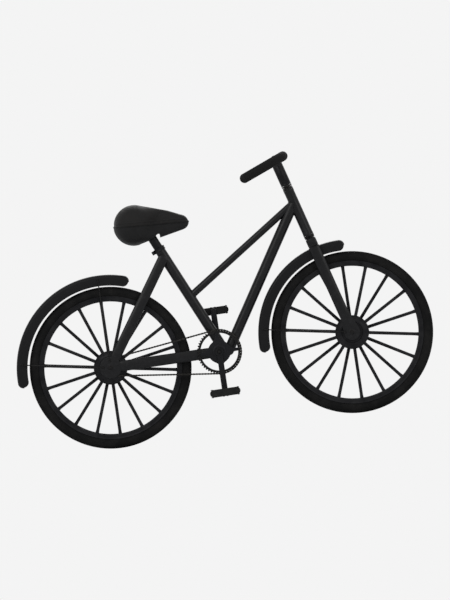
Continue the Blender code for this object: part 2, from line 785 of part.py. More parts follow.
def dropout(name, side):
    """The plate that holds the axle, with the roots of both stays welded to it."""
    inner = REAR_AXLE_SPACE / 2
    low, high = sorted((side * inner, side * (inner + DROPOUT_THICKNESS)))
    outline = circle(xz(REAR_AXLE), DROPOUT_R, 24)
    return plate(name, [outline, circle(xz(REAR_AXLE), AXLE_R + GAP, SMALL_STEPS)], low, high)


def stay_bridge(name):
    """The cross tube between the seat stays, above the tyre."""
    foot, top = seat_stay_line(1)
    point = foot + (top - foot).normalized() * BRIDGE_DISTANCE
    return cross_rod(name, point, BRIDGE_R, -point.y, point.y)


def kickstand_plate(name):
    """The flat plate under and between the chain stays that a kickstand bolts to."""
    top = AXLE_HEIGHT - CHAIN_STAY_HEIGHT / 2 + KICKSTAND_PLATE_THICKNESS * 2
    centre = Vector((KICKSTAND_PLATE_X, 0, top - KICKSTAND_PLATE_THICKNESS / 2))
    size = (KICKSTAND_PLATE_LENGTH, KICKSTAND_PLATE_WIDTH, KICKSTAND_PLATE_THICKNESS)
    base = block(name, size, Matrix.Translation(centre))
    hole = rod("hole", centre - Vector((0, 0, 0.01)), centre + Vector((0, 0, 0.01)), KICKSTAND_HOLE_R)
    return cut(base, hole)


def bracket_shell(name):
    """The bottom bracket shell with the lug that takes the seat and down tubes."""
    shell = cross_rod(name, CRANK_CENTRE, SHELL_R, -SHELL_WIDTH / 2, SHELL_WIDTH / 2, 28)
    lug_centre = (CRANK_CENTRE.x + DOWN_TUBE_SETFORWARD, AXLE_HEIGHT)
    outline = belt(xz(CRANK_CENTRE), SHELL_R - 0.0005, lug_centre, LUG_R, 10)
    lug = plate("lug", [outline], -LUG_WIDTH / 2, LUG_WIDTH / 2)
    bore = cross_rod("bore", CRANK_CENTRE, SHELL_BORE_R, -SHELL_WIDTH, SHELL_WIDTH, ROUND_STEPS)
    return cut(united(shell, lug), bore)


def lug_cutter():
    lug_centre = (CRANK_CENTRE.x + DOWN_TUBE_SETFORWARD, AXLE_HEIGHT)
    outline = belt(xz(CRANK_CENTRE), SHELL_R + GAP, lug_centre, LUG_R + GAP, 12)
    return as_cutter(plate("lug_clearance", [outline], -0.06, 0.06))


def tube_cutter(name, start, end, radius, width=None):
    """The outside of a tube grown by the gap, to cut its neighbours back."""
    reach = (Vector(end) - Vector(start)).normalized() * 0.02
    start, end = Vector(start) - reach, Vector(end) + reach
    length = (end - start).length
    radius += GAP
    flatten = (width / 2 + GAP) / radius if width else 1.0
    profile = [(0, length), (radius, length), (radius, 0), (0, 0)]
    return as_cutter(turned(name, profile, along(start, end - start), ROUND_STEPS, flatten))


def build_frame(root):
    seat_foot = seat_axis(AXLE_HEIGHT)
    seat_top = seat_axis(SEAT_TUBE_TOP_Z)
    head_joint = steer(HEAD_JOINT)
    down_foot = CRANK_CENTRE + Vector((DOWN_TUBE_SETFORWARD, 0, 0))
    around_lug = lug_cutter()
    around_seat = tube_cutter("seat_tube_clearance", seat_foot, seat_top, SEAT_TUBE_R)
    around_head = tube_cutter("head_tube_clearance", steer(HEAD_BOTTOM), steer(HEAD_TOP), HEAD_TUBE_R)
    around_down = tube_cutter("down_tube_clearance", down_foot, head_joint, DOWN_TUBE_R)
    around_dropouts = [
        as_cutter(cross_rod("dropout_clearance_" + word, REAR_AXLE, DROPOUT_R + GAP,
                            side * DROPOUT_Y - DROPOUT_THICKNESS / 2 - GAP,
                            side * DROPOUT_Y + DROPOUT_THICKNESS / 2 + GAP, 24))
        for word, side in SIDES]
    stay_cutters = {}
    for word, side in SIDES:
        foot, top = seat_stay_line(side)
        stay_cutters["seat", word] = tube_cutter("seat_stay_clearance_" + word, foot, top,
                                                 SEAT_STAY_HEIGHT / 2, SEAT_STAY_WIDTH)
        start, end = chain_stay_line(side)
        stay_cutters["chain", word] = tube_cutter("chain_stay_clearance_" + word, start, end,
                                                  CHAIN_STAY_HEIGHT / 2, CHAIN_STAY_WIDTH)

    piece(tube("head_tube", steer(HEAD_BOTTOM), steer(HEAD_TOP), HEAD_TUBE_R,
               HEAD_TUBE_R - HEAD_TUBE_BORE_R), "paint", root)
    seat = tube("seat_tube", seat_foot, seat_top, SEAT_TUBE_R, SEAT_TUBE_WALL)
    piece(coped(seat, around_lug), "paint", root)
    down = tube("down_tube", down_foot, head_joint, DOWN_TUBE_R, TUBE_WALL)
    piece(coped(down, around_lug, around_seat, around_head), "paint", root)
    top = tube("top_tube", seat_axis(TOP_TUBE_JOINT_Z), head_joint, TOP_TUBE_R, TUBE_WALL)
    piece(coped(top, around_seat, around_down, around_head), "paint", root)
    piece(bracket_shell("bottom_bracket_shell"), "paint", root)
    for (word, side), around_dropout in zip(SIDES, around_dropouts):
        lower = chain_stay("chain_stay_" + word, side)
        piece(coped(lower, around_lug, around_dropout), "paint", root)
        upper = seat_stay("seat_stay_" + word, side)
        piece(coped(upper, around_seat, around_dropout, stay_cutters["chain", word]), "paint", root)
        piece(dropout("dropout_" + word, side), "paint", root)
    both_seat = [stay_cutters["seat", word] for word, _ in SIDES]
    both_chain = [stay_cutters["chain", word] for word, _ in SIDES]
    piece(coped(stay_bridge("seat_stay_bridge"), *both_seat), "paint", root)
    piece(coped(kickstand_plate("kickstand_plate"), *both_chain), "paint", root)
    piece(seat_collar("seat_collar", seat_top), "steel", root)


def seat_collar(name, seat_top):
    """The split ring that clamps the seat post, with an ear for its bolt behind."""
    start = seat_top - SEAT_AXIS * (COLLAR_HEIGHT - 0.004)
    place = along(start, SEAT_AXIS)
    inner = SEAT_TUBE_R + GAP
    lip = POST_R + SLIDE_GAP + 0.0006
    ledge = COLLAR_HEIGHT - 0.004 + GAP
    profile = [(COLLAR_R, COLLAR_HEIGHT), (COLLAR_R, 0), (inner, 0), (inner, ledge), (lip, ledge),
               (lip, COLLAR_HEIGHT)]
    ring = turned(name, profile, place)
    size = (COLLAR_EAR + COLLAR_EAR_ROOT, COLLAR_EAR_WIDTH, COLLAR_HEIGHT - GAP * 4)
    reach = -(COLLAR_R + (COLLAR_EAR - COLLAR_EAR_ROOT) / 2)
    ear = block("ear", size, place @ Matrix.Translation((reach, 0, COLLAR_HEIGHT / 2)))
    slot_reach = -(COLLAR_R + COLLAR_EAR / 2)
    slot = block("slot", (COLLAR_EAR * 3, 0.003, COLLAR_HEIGHT * 3),
                 place @ Matrix.Translation((slot_reach, 0, 0)))
    return cut(united(ring, ear), slot)


# Headset and fork

def ring(name, low, high, radius, inner, place_axis=steer):
    profile = [(radius, high - low), (radius, 0), (inner, 0), (inner, high - low)]
    return turned(name, profile, along(place_axis(low), STEER_AXIS))


def build_headset(root, fork):
    bore = STEERER_R + RUNNING_GAP
    piece(ring("headset_cup_lower", CROWN_TOP + GAP, HEAD_BOTTOM - GAP, HEAD_TUBE_R, bore), "steel", root)
    piece(ring("headset_cup_upper", HEAD_TOP + GAP, LOCK_NUT_BOTTOM - GAP, HEAD_TUBE_R, bore),
          "steel", root)
    piece(ring("headset_lock_nut", LOCK_NUT_BOTTOM + GAP, STEM_BOTTOM - GAP, HEAD_TUBE_R,
               STEERER_R + GAP), "steel", fork)


def fork_crown(name):
    """The bridge across the tops of both blades, bored for the steerer."""
    width = 2 * (FORK_END_Y + FORK_BLADE_WIDTH / 2)
    middle = CROWN_BOTTOM + CROWN_HEIGHT / 2
    crown = block(name, (CROWN_DEPTH, width, CROWN_HEIGHT), along(steer(middle), STEER_AXIS))
    work = bmesh.new()
    work.from_mesh(crown.data)
    bmesh.ops.bevel(work, geom=work.edges, offset=0.008, segments=2, profile=0.5, affect="EDGES")
    work.to_mesh(crown.data)
    work.free()
    bore = rod("bore", steer(CROWN_BOTTOM - 0.01), steer(CROWN_TOP + 0.01), STEERER_R + GAP, ROUND_STEPS)
    return cut(crown, bore)


def fork_blade(name, side):
    """A straight oval blade with the flat fork end that takes the axle."""
    offset = Vector((0, side * FORK_END_Y, 0))
    blade = oval_tube(name, steer(FORK_BLADE_START) + offset, steer(CROWN_BOTTOM - GAP) + offset,
                      FORK_BLADE_DEPTH, FORK_BLADE_WIDTH, FORK_WALL)
    low, high = sorted((side * FRONT_AXLE_SPACE / 2, side * (FRONT_AXLE_SPACE / 2 + FORK_END_THICKNESS)))
    tip = xz(steer(FORK_END_LENGTH))
    outline = belt(xz(FRONT_AXLE), FORK_AXLE_PAD_R, tip, FORK_END_R, 10)
    end = plate("end", [outline], low, high)
    hole = cross_rod("hole", FRONT_AXLE, AXLE_R + GAP, -OVERCUT, OVERCUT)
    return cut(united(blade, end), hole)


def build_fork(fork):
    steerer_low = steer(CROWN_BOTTOM + 0.002)
    piece(tube("steerer_tube", steerer_low, steer(STEM_BOTTOM - 0.001), STEERER_R, STEERER_WALL),
          "steel", fork)
    piece(fork_crown("fork_crown"), "paint", fork)
    for word, side in SIDES:
        piece(fork_blade("fork_blade_" + word, side), "paint", fork)
    piece(axle("front_axle", FRONT_AXLE, FRONT_HUB_WIDTH, FRONT_AXLE_SPACE, FORK_END_THICKNESS),
          "steel", fork)
    piece(mudguard("front_mudguard", FRONT_AXLE, FRONT_GUARD_DEG, (FRONT_STAY_DEG,)), "plastic", fork)
    foot_y = FRONT_AXLE_SPACE / 2 + FORK_END_THICKNESS + GUARD_STAY_R + GAP
    piece(guard_stay("front_guard_stay", FRONT_AXLE, FRONT_STAY_DEG, foot_y), "steel", fork)


# Stem, handlebar and grips

def bar_point(forward, sideways):
    """A point of the handlebar's tilted plane, from the middle of the clamp."""
    tilt = math.radians(BAR_TILT_DEG)
    offset = Vector((forward * math.cos(tilt), sideways, forward * math.sin(tilt)))
    return steer(BAR_HEIGHT) + offset


def bar_knots(side, first=0, longer=0.0):
    """The knots of one half of the bar, from the clamp or a later knot out to its end."""
    knots = [bar_point(f, s * side) for f, s in BAR_LINE[first:]]
    knots[-1] += (knots[-1] - knots[-2]).normalized() * longer
    return knots


def bar_curve(name, radius, longer=0.0):
    right, left = bar_knots(-1, 1, longer), bar_knots(1, 0, longer)
    return wire(name, right[::-1] + left, radius, smooth=True)


def grip(name, side):
    """A thick sleeve over the bar's bend, closed with a round end."""
    first = min(i for i, (_, sideways) in enumerate(BAR_LINE) if sideways > GRIP_START)
    knots = bar_knots(side, first)
    sleeve = wire(name, knots, GRIP_R, smooth=True)
    work = bmesh.new()
    bmesh.ops.create_uvsphere(work, u_segments=8, v_segments=6, radius=GRIP_R * 0.995)
    mesh = bpy.data.meshes.new("end")
    work.to_mesh(mesh)
    work.free()
    ball = shape("end", mesh, along(knots[-1], knots[-1] - knots[-2]))
    return cut(united(sleeve, ball), bar_curve("bore", BAR_R + GAP, GAP * 2))


def build_stem(stem):
    quill_bottom = STEM_BOTTOM - QUILL_LENGTH
    column = STEM_HEIGHT - 0.004
    profile = [(0, QUILL_LENGTH + column), (HEAD_TUBE_R, QUILL_LENGTH + column),
               (HEAD_TUBE_R, QUILL_LENGTH + GAP), (QUILL_R, QUILL_LENGTH + GAP), (QUILL_R, 0), (0, 0)]
    body = turned("stem", profile, along(steer(quill_bottom), STEER_AXIS))
    head = cross_rod("head", steer(BAR_HEIGHT), CLAMP_R, -CLAMP_WIDTH / 2, CLAMP_WIDTH / 2, 24)
    bore = cross_rod("bore", steer(BAR_HEIGHT), BAR_R + GAP * 2, -CLAMP_WIDTH, CLAMP_WIDTH, ROUND_STEPS)
    piece(cut(united(body, head), bore), "alloy", stem)
    piece(bar_curve("handlebar", BAR_R), "steel", stem)
    for word, side in SIDES:
        piece(grip("grip_" + word, side), "rubber", stem)


# Drive

def bracket_cup(name, side):
    """A threaded cup with a flange against the shell's face."""
    face = SHELL_WIDTH / 2
    inner = SPINDLE_R + RUNNING_GAP
    profile = [(CUP_FLANGE_R, face + GAP + CUP_FLANGE), (CUP_FLANGE_R, face + GAP),
               (SHELL_BORE_R - GAP, face + GAP), (SHELL_BORE_R - GAP, face - CUP_DEPTH),
               (inner, face - CUP_DEPTH), (inner, face + GAP + CUP_FLANGE)]
    place = wheel_frame(CRANK_CENTRE)
    if side < 0:
        profile = [(r, -y) for r, y in reversed(profile)]
    return turned(name, profile, place)


def crank(name, side, end):
    """An arm from the spindle to the pedal. The right one carries the four-arm spider."""
    outer = CRANK_INNER + CRANK_THICKNESS
    low, high = sorted((side * CRANK_INNER, side * outer))
    lower, upper = sorted((xz(CRANK_CENTRE), xz(end)), key=lambda p: p[1])
    outline = belt(upper, CRANK_WIDTH / 2, lower, CRANK_WIDTH / 2, 8)
    arm = plate(name, [outline], low, high)
    boss_low, boss_high = sorted((side * CRANK_BOSS_INNER, side * (outer + CRANK_BOSS_PROUD)))
    arm = united(arm, cross_rod("boss", CRANK_CENTRE, CRANK_BOSS_R, boss_low, boss_high, ROUND_STEPS))
    if side < 0:
        arm = united(arm, spider())
    spindle_hole = cross_rod("hole", CRANK_CENTRE, SPINDLE_R + GAP, -OVERCUT, OVERCUT, ROUND_STEPS)
    pedal_hole = cross_rod("hole", end, PEDAL_SPINDLE_R + GAP, -OVERCUT, OVERCUT)
    return cut(arm, spindle_hole, pedal_hole)


def spider():
    """The centre disc and its four arms, behind which the chainring is bolted."""
    face = -(CHAIN_LINE + TOOTH_THICKNESS / 2 + GAP)
    low, high = face - SPIDER_THICKNESS, face
    disc = plate("spider", [circle(xz(CRANK_CENTRE), SPIDER_R, FLANGE_STEPS)], low, high)
    reach = CHAINRING_INNER_R + SPIDER_ARM_OVERLAP
    for degrees in (0, 90):
        across = along(CRANK_CENTRE, (0, 1, 0), (math.sin(math.radians(degrees)), 0,
                                                 math.cos(math.radians(degrees))))
        place = across @ Matrix.Translation((0, 0, (low + high) / 2))
        bar = block("bar", (SPIDER_ARM_WIDTH, reach * 2, SPIDER_THICKNESS), place)
        disc = united(disc, bar)
    return disc


def chainring(name):
    low = -CHAIN_LINE - TOOTH_THICKNESS / 2
    high = -CHAIN_LINE + TOOTH_THICKNESS / 2
    outline = toothed(CRANK_CENTRE, CHAINRING_PITCH_R, CHAINRING_TEETH)
    teeth = plate(name, [outline, circle(xz(CRANK_CENTRE), CHAINRING_INNER_R, FLANGE_STEPS)], low, high)
    return teeth


def sprocket(name):
    """The 18-tooth sprocket on the driver that turns the coaster hub."""
    low = -CHAIN_LINE - TOOTH_THICKNESS / 2
    high = -CHAIN_LINE + TOOTH_THICKNESS / 2
    teeth = plate(name, [toothed(REAR_AXLE, SPROCKET_PITCH_R, SPROCKET_TEETH)], low, high)
    driver_low = low - DRIVER_PROUD
    driver_high = -(REAR_HUB_WIDTH / 2 + RUNNING_GAP)
    driver = cross_rod("driver", REAR_AXLE, DRIVER_R, driver_low, driver_high, ROUND_STEPS)
    bore = cross_rod("bore", REAR_AXLE, SPROCKET_BORE_R, -OVERCUT, 0, ROUND_STEPS)
    return cut(united(teeth, driver), bore)


def chain_loop(name):
    """The whole chain as one closed band, with a slot on its inner side that the teeth run in."""
    def loop(offset):
        return belt(xz(REAR_AXLE), SPROCKET_PITCH_R + offset, xz(CRANK_CENTRE),
                    CHAINRING_PITCH_R + offset, 16)
    half = CHAIN_HEIGHT / 2
    low, high = -CHAIN_LINE - CHAIN_WIDTH / 2, -CHAIN_LINE + CHAIN_WIDTH / 2
    band = plate(name, [loop(half), loop(-half)], low, high)
    slot_low, slot_high = -CHAIN_LINE - CHAIN_SLOT_WIDTH / 2, -CHAIN_LINE + CHAIN_SLOT_WIDTH / 2
    slot = plate("slot", [loop(CHAIN_SLOT_ABOVE_PITCH)], slot_low, slot_high)
    return cut(band, slot)


def brake_arm(name):
    """The coaster brake's reaction arm, from the left cone forward along the chain stay."""
    tip = (REAR_AXLE.x + BRAKE_ARM_LENGTH, AXLE_HEIGHT)
    half = BRAKE_ARM_WIDTH / 2
    outline = belt(xz(REAR_AXLE), half * 1.6, tip, half, 8)
    holes = [circle(xz(REAR_AXLE), CONE_R + GAP, SMALL_STEPS), circle(tip, 0.003, 8)]
    return plate(name, [outline, *holes], BRAKE_ARM_INNER, BRAKE_ARM_INNER + BRAKE_ARM_THICKNESS)


def pedal_spindle(name, side, end):
    """The pedal's spindle with the collar that it is tightened by."""
    outer = CRANK_INNER + CRANK_THICKNESS
    collar_end = PEDAL_INNER - RUNNING_GAP
    length = PEDAL_INNER + PEDAL_WIDTH - PEDAL_CAP
    collar_start = outer + PEDAL_SPINDLE_GAP
    radius, collar = PEDAL_SPINDLE_R, PEDAL_SPINDLE_R + PEDAL_SPINDLE_COLLAR
    profile = [(0, length), (radius, length), (radius, collar_end), (collar, collar_end),
               (collar, collar_start), (radius, collar_start), (radius, CRANK_INNER), (0, CRANK_INNER)]
    if side < 0:
        profile = [(r, -y) for r, y in reversed(profile)]
    return turned(name, profile, wheel_frame(end), SMALL_STEPS)


def pedal(name, side, end):
    """A platform pedal with rounded ends and a window on each side of its barrel."""
    low, high = sorted((side * PEDAL_INNER, side * (PEDAL_INNER + PEDAL_WIDTH)))
    radius = PEDAL_HEIGHT / 2
    reach = PEDAL_LENGTH / 2 - radius
    back, front = (end.x - reach, end.z), (end.x + reach, end.z)
    body = plate(name, [belt(back, radius, front, radius, 8)], low, high)
    for direction in (-1, 1):
        centre = end + Vector((direction * PEDAL_WINDOW_X, (low + high) / 2, 0))
        window = block("window", (PEDAL_WINDOW_LENGTH, PEDAL_WINDOW_WIDTH, PEDAL_HEIGHT * 2),
                       Matrix.Translation(centre))
        body = cut(body, window)
    bore = cross_rod("bore", end, PEDAL_SPINDLE_R + RUNNING_GAP, -PEDAL_REACH, PEDAL_REACH)
    return cut(body, bore)


def build_drive(root, cranks, driver, pedals):
    for word, side in SIDES:
        end = CRANK_CENTRE + Vector((0, 0, side * CRANK_LENGTH))
        piece(bracket_cup("bracket_cup_" + word, side), "steel", root)
        piece(crank("crank_" + word, side, end), "alloy", cranks)
        piece(pedal_spindle("pedal_spindle_" + word, side, end), "steel", cranks)
        piece(pedal("pedal_" + word, side, end), "plastic", pedals[word])
    reach = CRANK_INNER + CRANK_THICKNESS
    piece(cross_rod("crank_spindle", CRANK_CENTRE, SPINDLE_R, -reach, reach, ROUND_STEPS), "steel", cranks)
    piece(chainring("chainring"), "steel", cranks)
    piece(sprocket("rear_sprocket"), "steel", driver)
    piece(chain_loop("chain"), "steel", root)
    piece(axle("rear_axle", REAR_AXLE, REAR_HUB_WIDTH, REAR_AXLE_SPACE, DROPOUT_THICKNESS), "steel", root)
    piece(brake_arm("brake_arm"), "steel", root)


def build_rear_guard(root):
    piece(mudguard("rear_mudguard", REAR_AXLE, REAR_GUARD_DEG, REAR_STAYS_DEG), "plastic", root)
    foot_y = REAR_AXLE_SPACE / 2 + DROPOUT_THICKNESS + GUARD_STAY_R + GAP
    for word, degrees in zip(("upper", "lower"), REAR_STAYS_DEG):
        piece(guard_stay("rear_guard_stay_" + word, REAR_AXLE, degrees, foot_y), "steel", root)


# Seat post and saddle

def saddle_line():
    """The saddle's middle line in the side view: its back and nose circles' centres."""
    rails = rail_centre()
    back = rails + Vector((SADDLE_BACK[0], 0, SADDLE_BACK[1]))
    nose = rails + Vector((SADDLE_NOSE[0], 0, SADDLE_NOSE[1]))
    return back, nose


def rail_centre():
    return seat_axis(POST_TOP_Z) + Vector((-RAIL_SETBACK, 0, RAIL_HEIGHT))


def saddle_half_height(u, length):
    """Half the height of the teardrop round both circles, at a distance along the middle line."""
    lean = math.asin((SADDLE_BACK_R - SADDLE_NOSE_R) / length)
    if u < SADDLE_BACK_R * math.sin(lean):
        return math.sqrt(max(0, SADDLE_BACK_R ** 2 - u ** 2))
    if u > length + SADDLE_NOSE_R * math.sin(lean):
        return math.sqrt(max(0, SADDLE_NOSE_R ** 2 - (u - length) ** 2))
    return (SADDLE_BACK_R - u * math.sin(lean)) / math.cos(lean)


def saddle_half_width(u, length):
    """Half the width in plan: broad and round behind, slim towards the nose."""
    low, high = -SADDLE_BACK_R, length + SADDLE_NOSE_R
    share = min(1, max(0, (u - SADDLE_WAIST_START) / SADDLE_WAIST_LENGTH))
    blend = share * share * (3 - 2 * share)
    width = SADDLE_HALF_WIDTH + (SADDLE_NOSE_HALF_WIDTH - SADDLE_HALF_WIDTH) * blend
    back = min(1, (u - low) / SADDLE_BACK_ROUNDING)
    front = min(1, (high - u) / SADDLE_NOSE_ROUNDING)
    return width * math.sqrt(max(0, 1 - (1 - back) ** 2)) * math.sqrt(max(0, 1 - (1 - front) ** 2))


def saddle_half(name, side, lift, narrow=0.0, shallow=0.0):
    """The saddle above (side 1) or below (side -1) its middle line, from flat face to rounded back."""
    back, nose = saddle_line()
    length = (nose - back).length
    place = along(back, nose - back)
    low, high = shallow * 2 - SADDLE_BACK_R, length + SADDLE_NOSE_R - shallow * 2
    rings = []
    for station in range(SADDLE_STATIONS + 1):
        share = 0.02 + 0.96 * station / SADDLE_STATIONS
        u = (low + high) / 2 - (high - low) / 2 * math.cos(math.pi * share)
        height = max(0.002, saddle_half_height(u, length) - shallow)
        width = max(0.003, saddle_half_width(u, length) - narrow)
        ring_points = []
        for k in range(11):
            turn = math.pi * k / 10
            across = width * math.copysign(abs(math.cos(turn)) ** 0.75, math.cos(turn))
            up = side * (lift + height * math.sin(turn) ** 0.85)
            ring_points.append(place @ Vector((-up, across, u)))
        rings.append(ring_points)
    return loft(name, rings)


def saddle_base(name):
    """The moulded shell under the cushion, open above, with a slot below for the post and clamp."""
    outside = saddle_half(name, -1, GAP / 2, SADDLE_BASE_INSET)
    inside = saddle_half("hollow", -1, -0.004, SADDLE_BASE_INSET + SADDLE_BASE_WALL, SADDLE_BASE_WALL)
    centre = rail_centre() + Vector((SADDLE_SLOT_SHIFT, 0, -SADDLE_SLOT_DROP - SADDLE_SLOT[2] / 2))
    slot = block("slot", SADDLE_SLOT, Matrix.Translation(centre))
    return cut(outside, inside, slot)


def saddle_rails(name, radius):
    """One bent wire, from the back of the cushion forward through the clamp to the nose and back."""
    back, nose = saddle_line()
    place = along(rail_centre(), nose - back)
    shift = (rail_centre() - back).dot((nose - back).normalized())
    half = [place @ Vector((-up, across, forward - shift)) for forward, across, up in RAIL_SHAPE]
    other = [Vector((p.x, -p.y, p.z)) for p in reversed(half[:-1])]
    return wire(name, half + other, radius, smooth=True)


def build_saddle(post, saddle):
    top = seat_axis(POST_TOP_Z)
    inner = POST_R - POST_WALL
    shoulder = POST_LENGTH - POST_NECK_LENGTH
    profile = [(0, POST_LENGTH), (POST_NECK_R, POST_LENGTH), (POST_NECK_R, shoulder),
               (POST_R, shoulder - POST_SHOULDER), (POST_R, 0), (inner, 0),
               (inner, shoulder - POST_SHOULDER - POST_CAP), (0, shoulder - POST_CAP)]
    tube_part = turned("seatpost", profile, along(top - SEAT_AXIS * POST_LENGTH, SEAT_AXIS))
    head = cross_rod("head", top, POST_NECK_R, -CLAMP_SIZE[1] / 2, CLAMP_SIZE[1] / 2, ROUND_STEPS)
    piece(united(tube_part, head), "alloy", post)

    back, nose = saddle_line()
    place = along(rail_centre(), nose - back)
    height = CLAMP_SIZE[0]
    middle = Matrix.Translation((height / 2 - CLAMP_ABOVE_RAILS, 0, CLAMP_SHIFT))
    clamp = block("saddle_clamp", CLAMP_SIZE, place @ middle)
    around_head = cross_rod("bore", top, POST_NECK_R + GAP * 2, -OVERCUT, OVERCUT, ROUND_STEPS)
    low = top + Vector((0, 0, CLAMP_MOUTH_RISE - OVERCUT / 2))
    below = block("below", (OVERCUT, OVERCUT, OVERCUT), Matrix.Translation(low))
    clamp = cut(clamp, around_head, below, saddle_rails("rail_holes", RAIL_R + GAP))
    piece(clamp, "alloy", saddle)
    piece(saddle_rails("saddle_rails", RAIL_R), "steel", saddle)
    piece(saddle_base("saddle_base"), "plastic", saddle)
    piece(saddle_half("saddle_cushion", 1, GAP / 2), "vinyl", saddle)


# The bicycle

BICYCLE = empty("bicycle", Matrix())
STEERING = empty("steering_axis", along(steer((HEAD_BOTTOM + HEAD_TOP) / 2), STEER_AXIS), BICYCLE)
STEM_SLIDE = empty("stem_slide", along(steer(STEM_BOTTOM), STEER_AXIS), STEERING)
FRONT_WHEEL = empty("front_wheel_axis", wheel_frame(FRONT_AXLE), STEERING)
REAR_WHEEL = empty("rear_wheel_axis", wheel_frame(REAR_AXLE), BICYCLE)
DRIVER = empty("sprocket_axis", wheel_frame(REAR_AXLE), BICYCLE)
CRANKS = empty("crank_axis", wheel_frame(CRANK_CENTRE), BICYCLE)
PEDALS = {word: empty("pedal_axis_" + word,
                      wheel_frame(CRANK_CENTRE + Vector((0, 0, side * CRANK_LENGTH))), CRANKS)
          for word, side in SIDES}
POST = empty("seatpost_slide", along(seat_axis(SEAT_TUBE_TOP_Z), SEAT_AXIS), BICYCLE)
SADDLE = empty("saddle_tilt", wheel_frame(seat_axis(POST_TOP_Z)), POST)
bpy.context.view_layer.update()

build_frame(BICYCLE)
build_headset(BICYCLE, STEERING)
build_fork(STEERING)
build_stem(STEM_SLIDE)
wheel("front", FRONT_AXLE, FRONT_HUB_R, FRONT_HUB_WIDTH, FRONT_WHEEL)
wheel("rear", REAR_AXLE, REAR_HUB_R, REAR_HUB_WIDTH, REAR_WHEEL)
build_drive(BICYCLE, CRANKS, DRIVER, PEDALS)
build_rear_guard(BICYCLE)
build_saddle(POST, SADDLE)

BICYCLE.location.x = -MIDDLE_X
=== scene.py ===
import json
import math
from functools import partial

import bmesh
import bpy
from mathutils import Matrix, Vector
from mathutils.bvhtree import BVHTree


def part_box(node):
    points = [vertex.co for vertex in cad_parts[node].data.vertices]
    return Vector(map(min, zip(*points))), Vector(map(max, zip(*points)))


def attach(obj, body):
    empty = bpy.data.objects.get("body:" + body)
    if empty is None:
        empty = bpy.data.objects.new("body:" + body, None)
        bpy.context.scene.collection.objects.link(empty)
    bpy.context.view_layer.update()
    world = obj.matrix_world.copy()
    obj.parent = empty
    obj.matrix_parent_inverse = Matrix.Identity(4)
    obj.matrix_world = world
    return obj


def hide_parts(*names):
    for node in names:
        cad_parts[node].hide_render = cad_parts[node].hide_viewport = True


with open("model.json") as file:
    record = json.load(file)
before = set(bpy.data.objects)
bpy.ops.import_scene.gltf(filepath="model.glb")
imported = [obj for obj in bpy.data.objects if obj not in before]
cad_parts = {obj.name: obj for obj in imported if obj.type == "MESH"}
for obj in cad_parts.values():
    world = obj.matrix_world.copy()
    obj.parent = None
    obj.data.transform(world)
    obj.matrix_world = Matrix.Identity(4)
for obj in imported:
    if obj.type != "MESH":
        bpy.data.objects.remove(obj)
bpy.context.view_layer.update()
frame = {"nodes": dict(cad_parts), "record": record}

SIDES = (("left", 1), ("right", -1))
UP = Vector((0, 0, 1))

# Where the main axes lie
MIDDLE_X = 0.5106
AXLE_HEIGHT = 0.358
REAR = Vector((-MIDDLE_X, 0, AXLE_HEIGHT))
CRANK = Vector((0.4856 - MIDDLE_X, 0, AXLE_HEIGHT))
FRONT = Vector((1.0792 - MIDDLE_X, 0, AXLE_HEIGHT))
LUG_CENTRE = CRANK + Vector((0.0428, 0, 0))
HEAD_ANGLE = math.radians(74.2)
SEAT_ANGLE = math.radians(65.55)
STEER_AXIS = Vector((-math.cos(HEAD_ANGLE), 0, math.sin(HEAD_ANGLE)))
SEAT_AXIS = Vector((-math.cos(SEAT_ANGLE), 0, math.sin(SEAT_ANGLE)))
SEAT_AXIS_TO_CRANK = 0.0247

# Heights up the steering axis from the front axle
CROWN_BOTTOM, CROWN_TOP = 0.4132, 0.4552
HEAD_BOTTOM, HEAD_TOP = 0.4697, 0.6897
HEAD_JOINT = 0.6284
LOCK_NUT_BOTTOM, STEM_BOTTOM = 0.7012, 0.7112
BAR_HEIGHT = 0.8312

# Heights of the seat tube's joints and ends above the ground
TOP_TUBE_FOOT, SEAT_STAY_TOP, SEAT_TUBE_TOP, POST_TOP = 0.6167, 0.8103, 0.848, 0.915

# Frame and fork
SEAT_TUBE_R, HEAD_TUBE_R, DOWN_TUBE_R, TOP_TUBE_R = 0.0228, 0.0229, 0.0229, 0.016
BLADE_Y = 0.0525
AXLE_HOLE_R = 0.0053

# Wheels
TYRE_R = 0.358
TYRE_SECTION_R = 0.0235
TREAD_LUGS = 180
RIM_INNER_R = 0.2926
FLANGE_Y = 0.032
SPOKES_PER_SIDE = 9
GUARD_INNER_R, GUARD_OUTER_R = 0.366, 0.4128
GUARD_SHIFT = Vector((-0.003, 0, -0.001))
GUARD_STAY_TOP = 0.395

# Bar and grips
BAR_R, BAR_SWEEP, BAR_HALF_WIDTH = 0.0111, 0.156, 0.285
BAR_TILT = math.radians(21.7)
GRIP_R, GRIP_START = 0.0216, 0.105
MOUTH_TAPER, MOUTH_LENGTH = 0.0015, 0.004

# Drive
CHAIN_LINE = 0.046
CHAIN_PITCH = 0.0127
CHAIN_LINKS, RING_TEETH, SPROCKET_TEETH = 110, 48, 18
CHAINRING_PITCH_R = CHAIN_PITCH / 2 / math.sin(math.pi / RING_TEETH)
SPROCKET_PITCH_R = CHAIN_PITCH / 2 / math.sin(math.pi / SPROCKET_TEETH)
TOOTH_HALF = 0.0012
CRANK_LENGTH = 0.181
PEDAL_BODY_R = 0.0172
PEDAL_INNER_Y, PEDAL_OUTER_Y, PEDAL_HALF_LENGTH = 0.0725, 0.1675, 0.0694


def mm(*numbers):
    """Pairs in metres from a plain run of millimetres."""
    return [(a / 1000, b / 1000) for a, b in zip(numbers[::2], numbers[1::2])]


def steer(distance):
    """A point on the steering axis, this far up from the front axle."""
    return FRONT + STEER_AXIS * distance


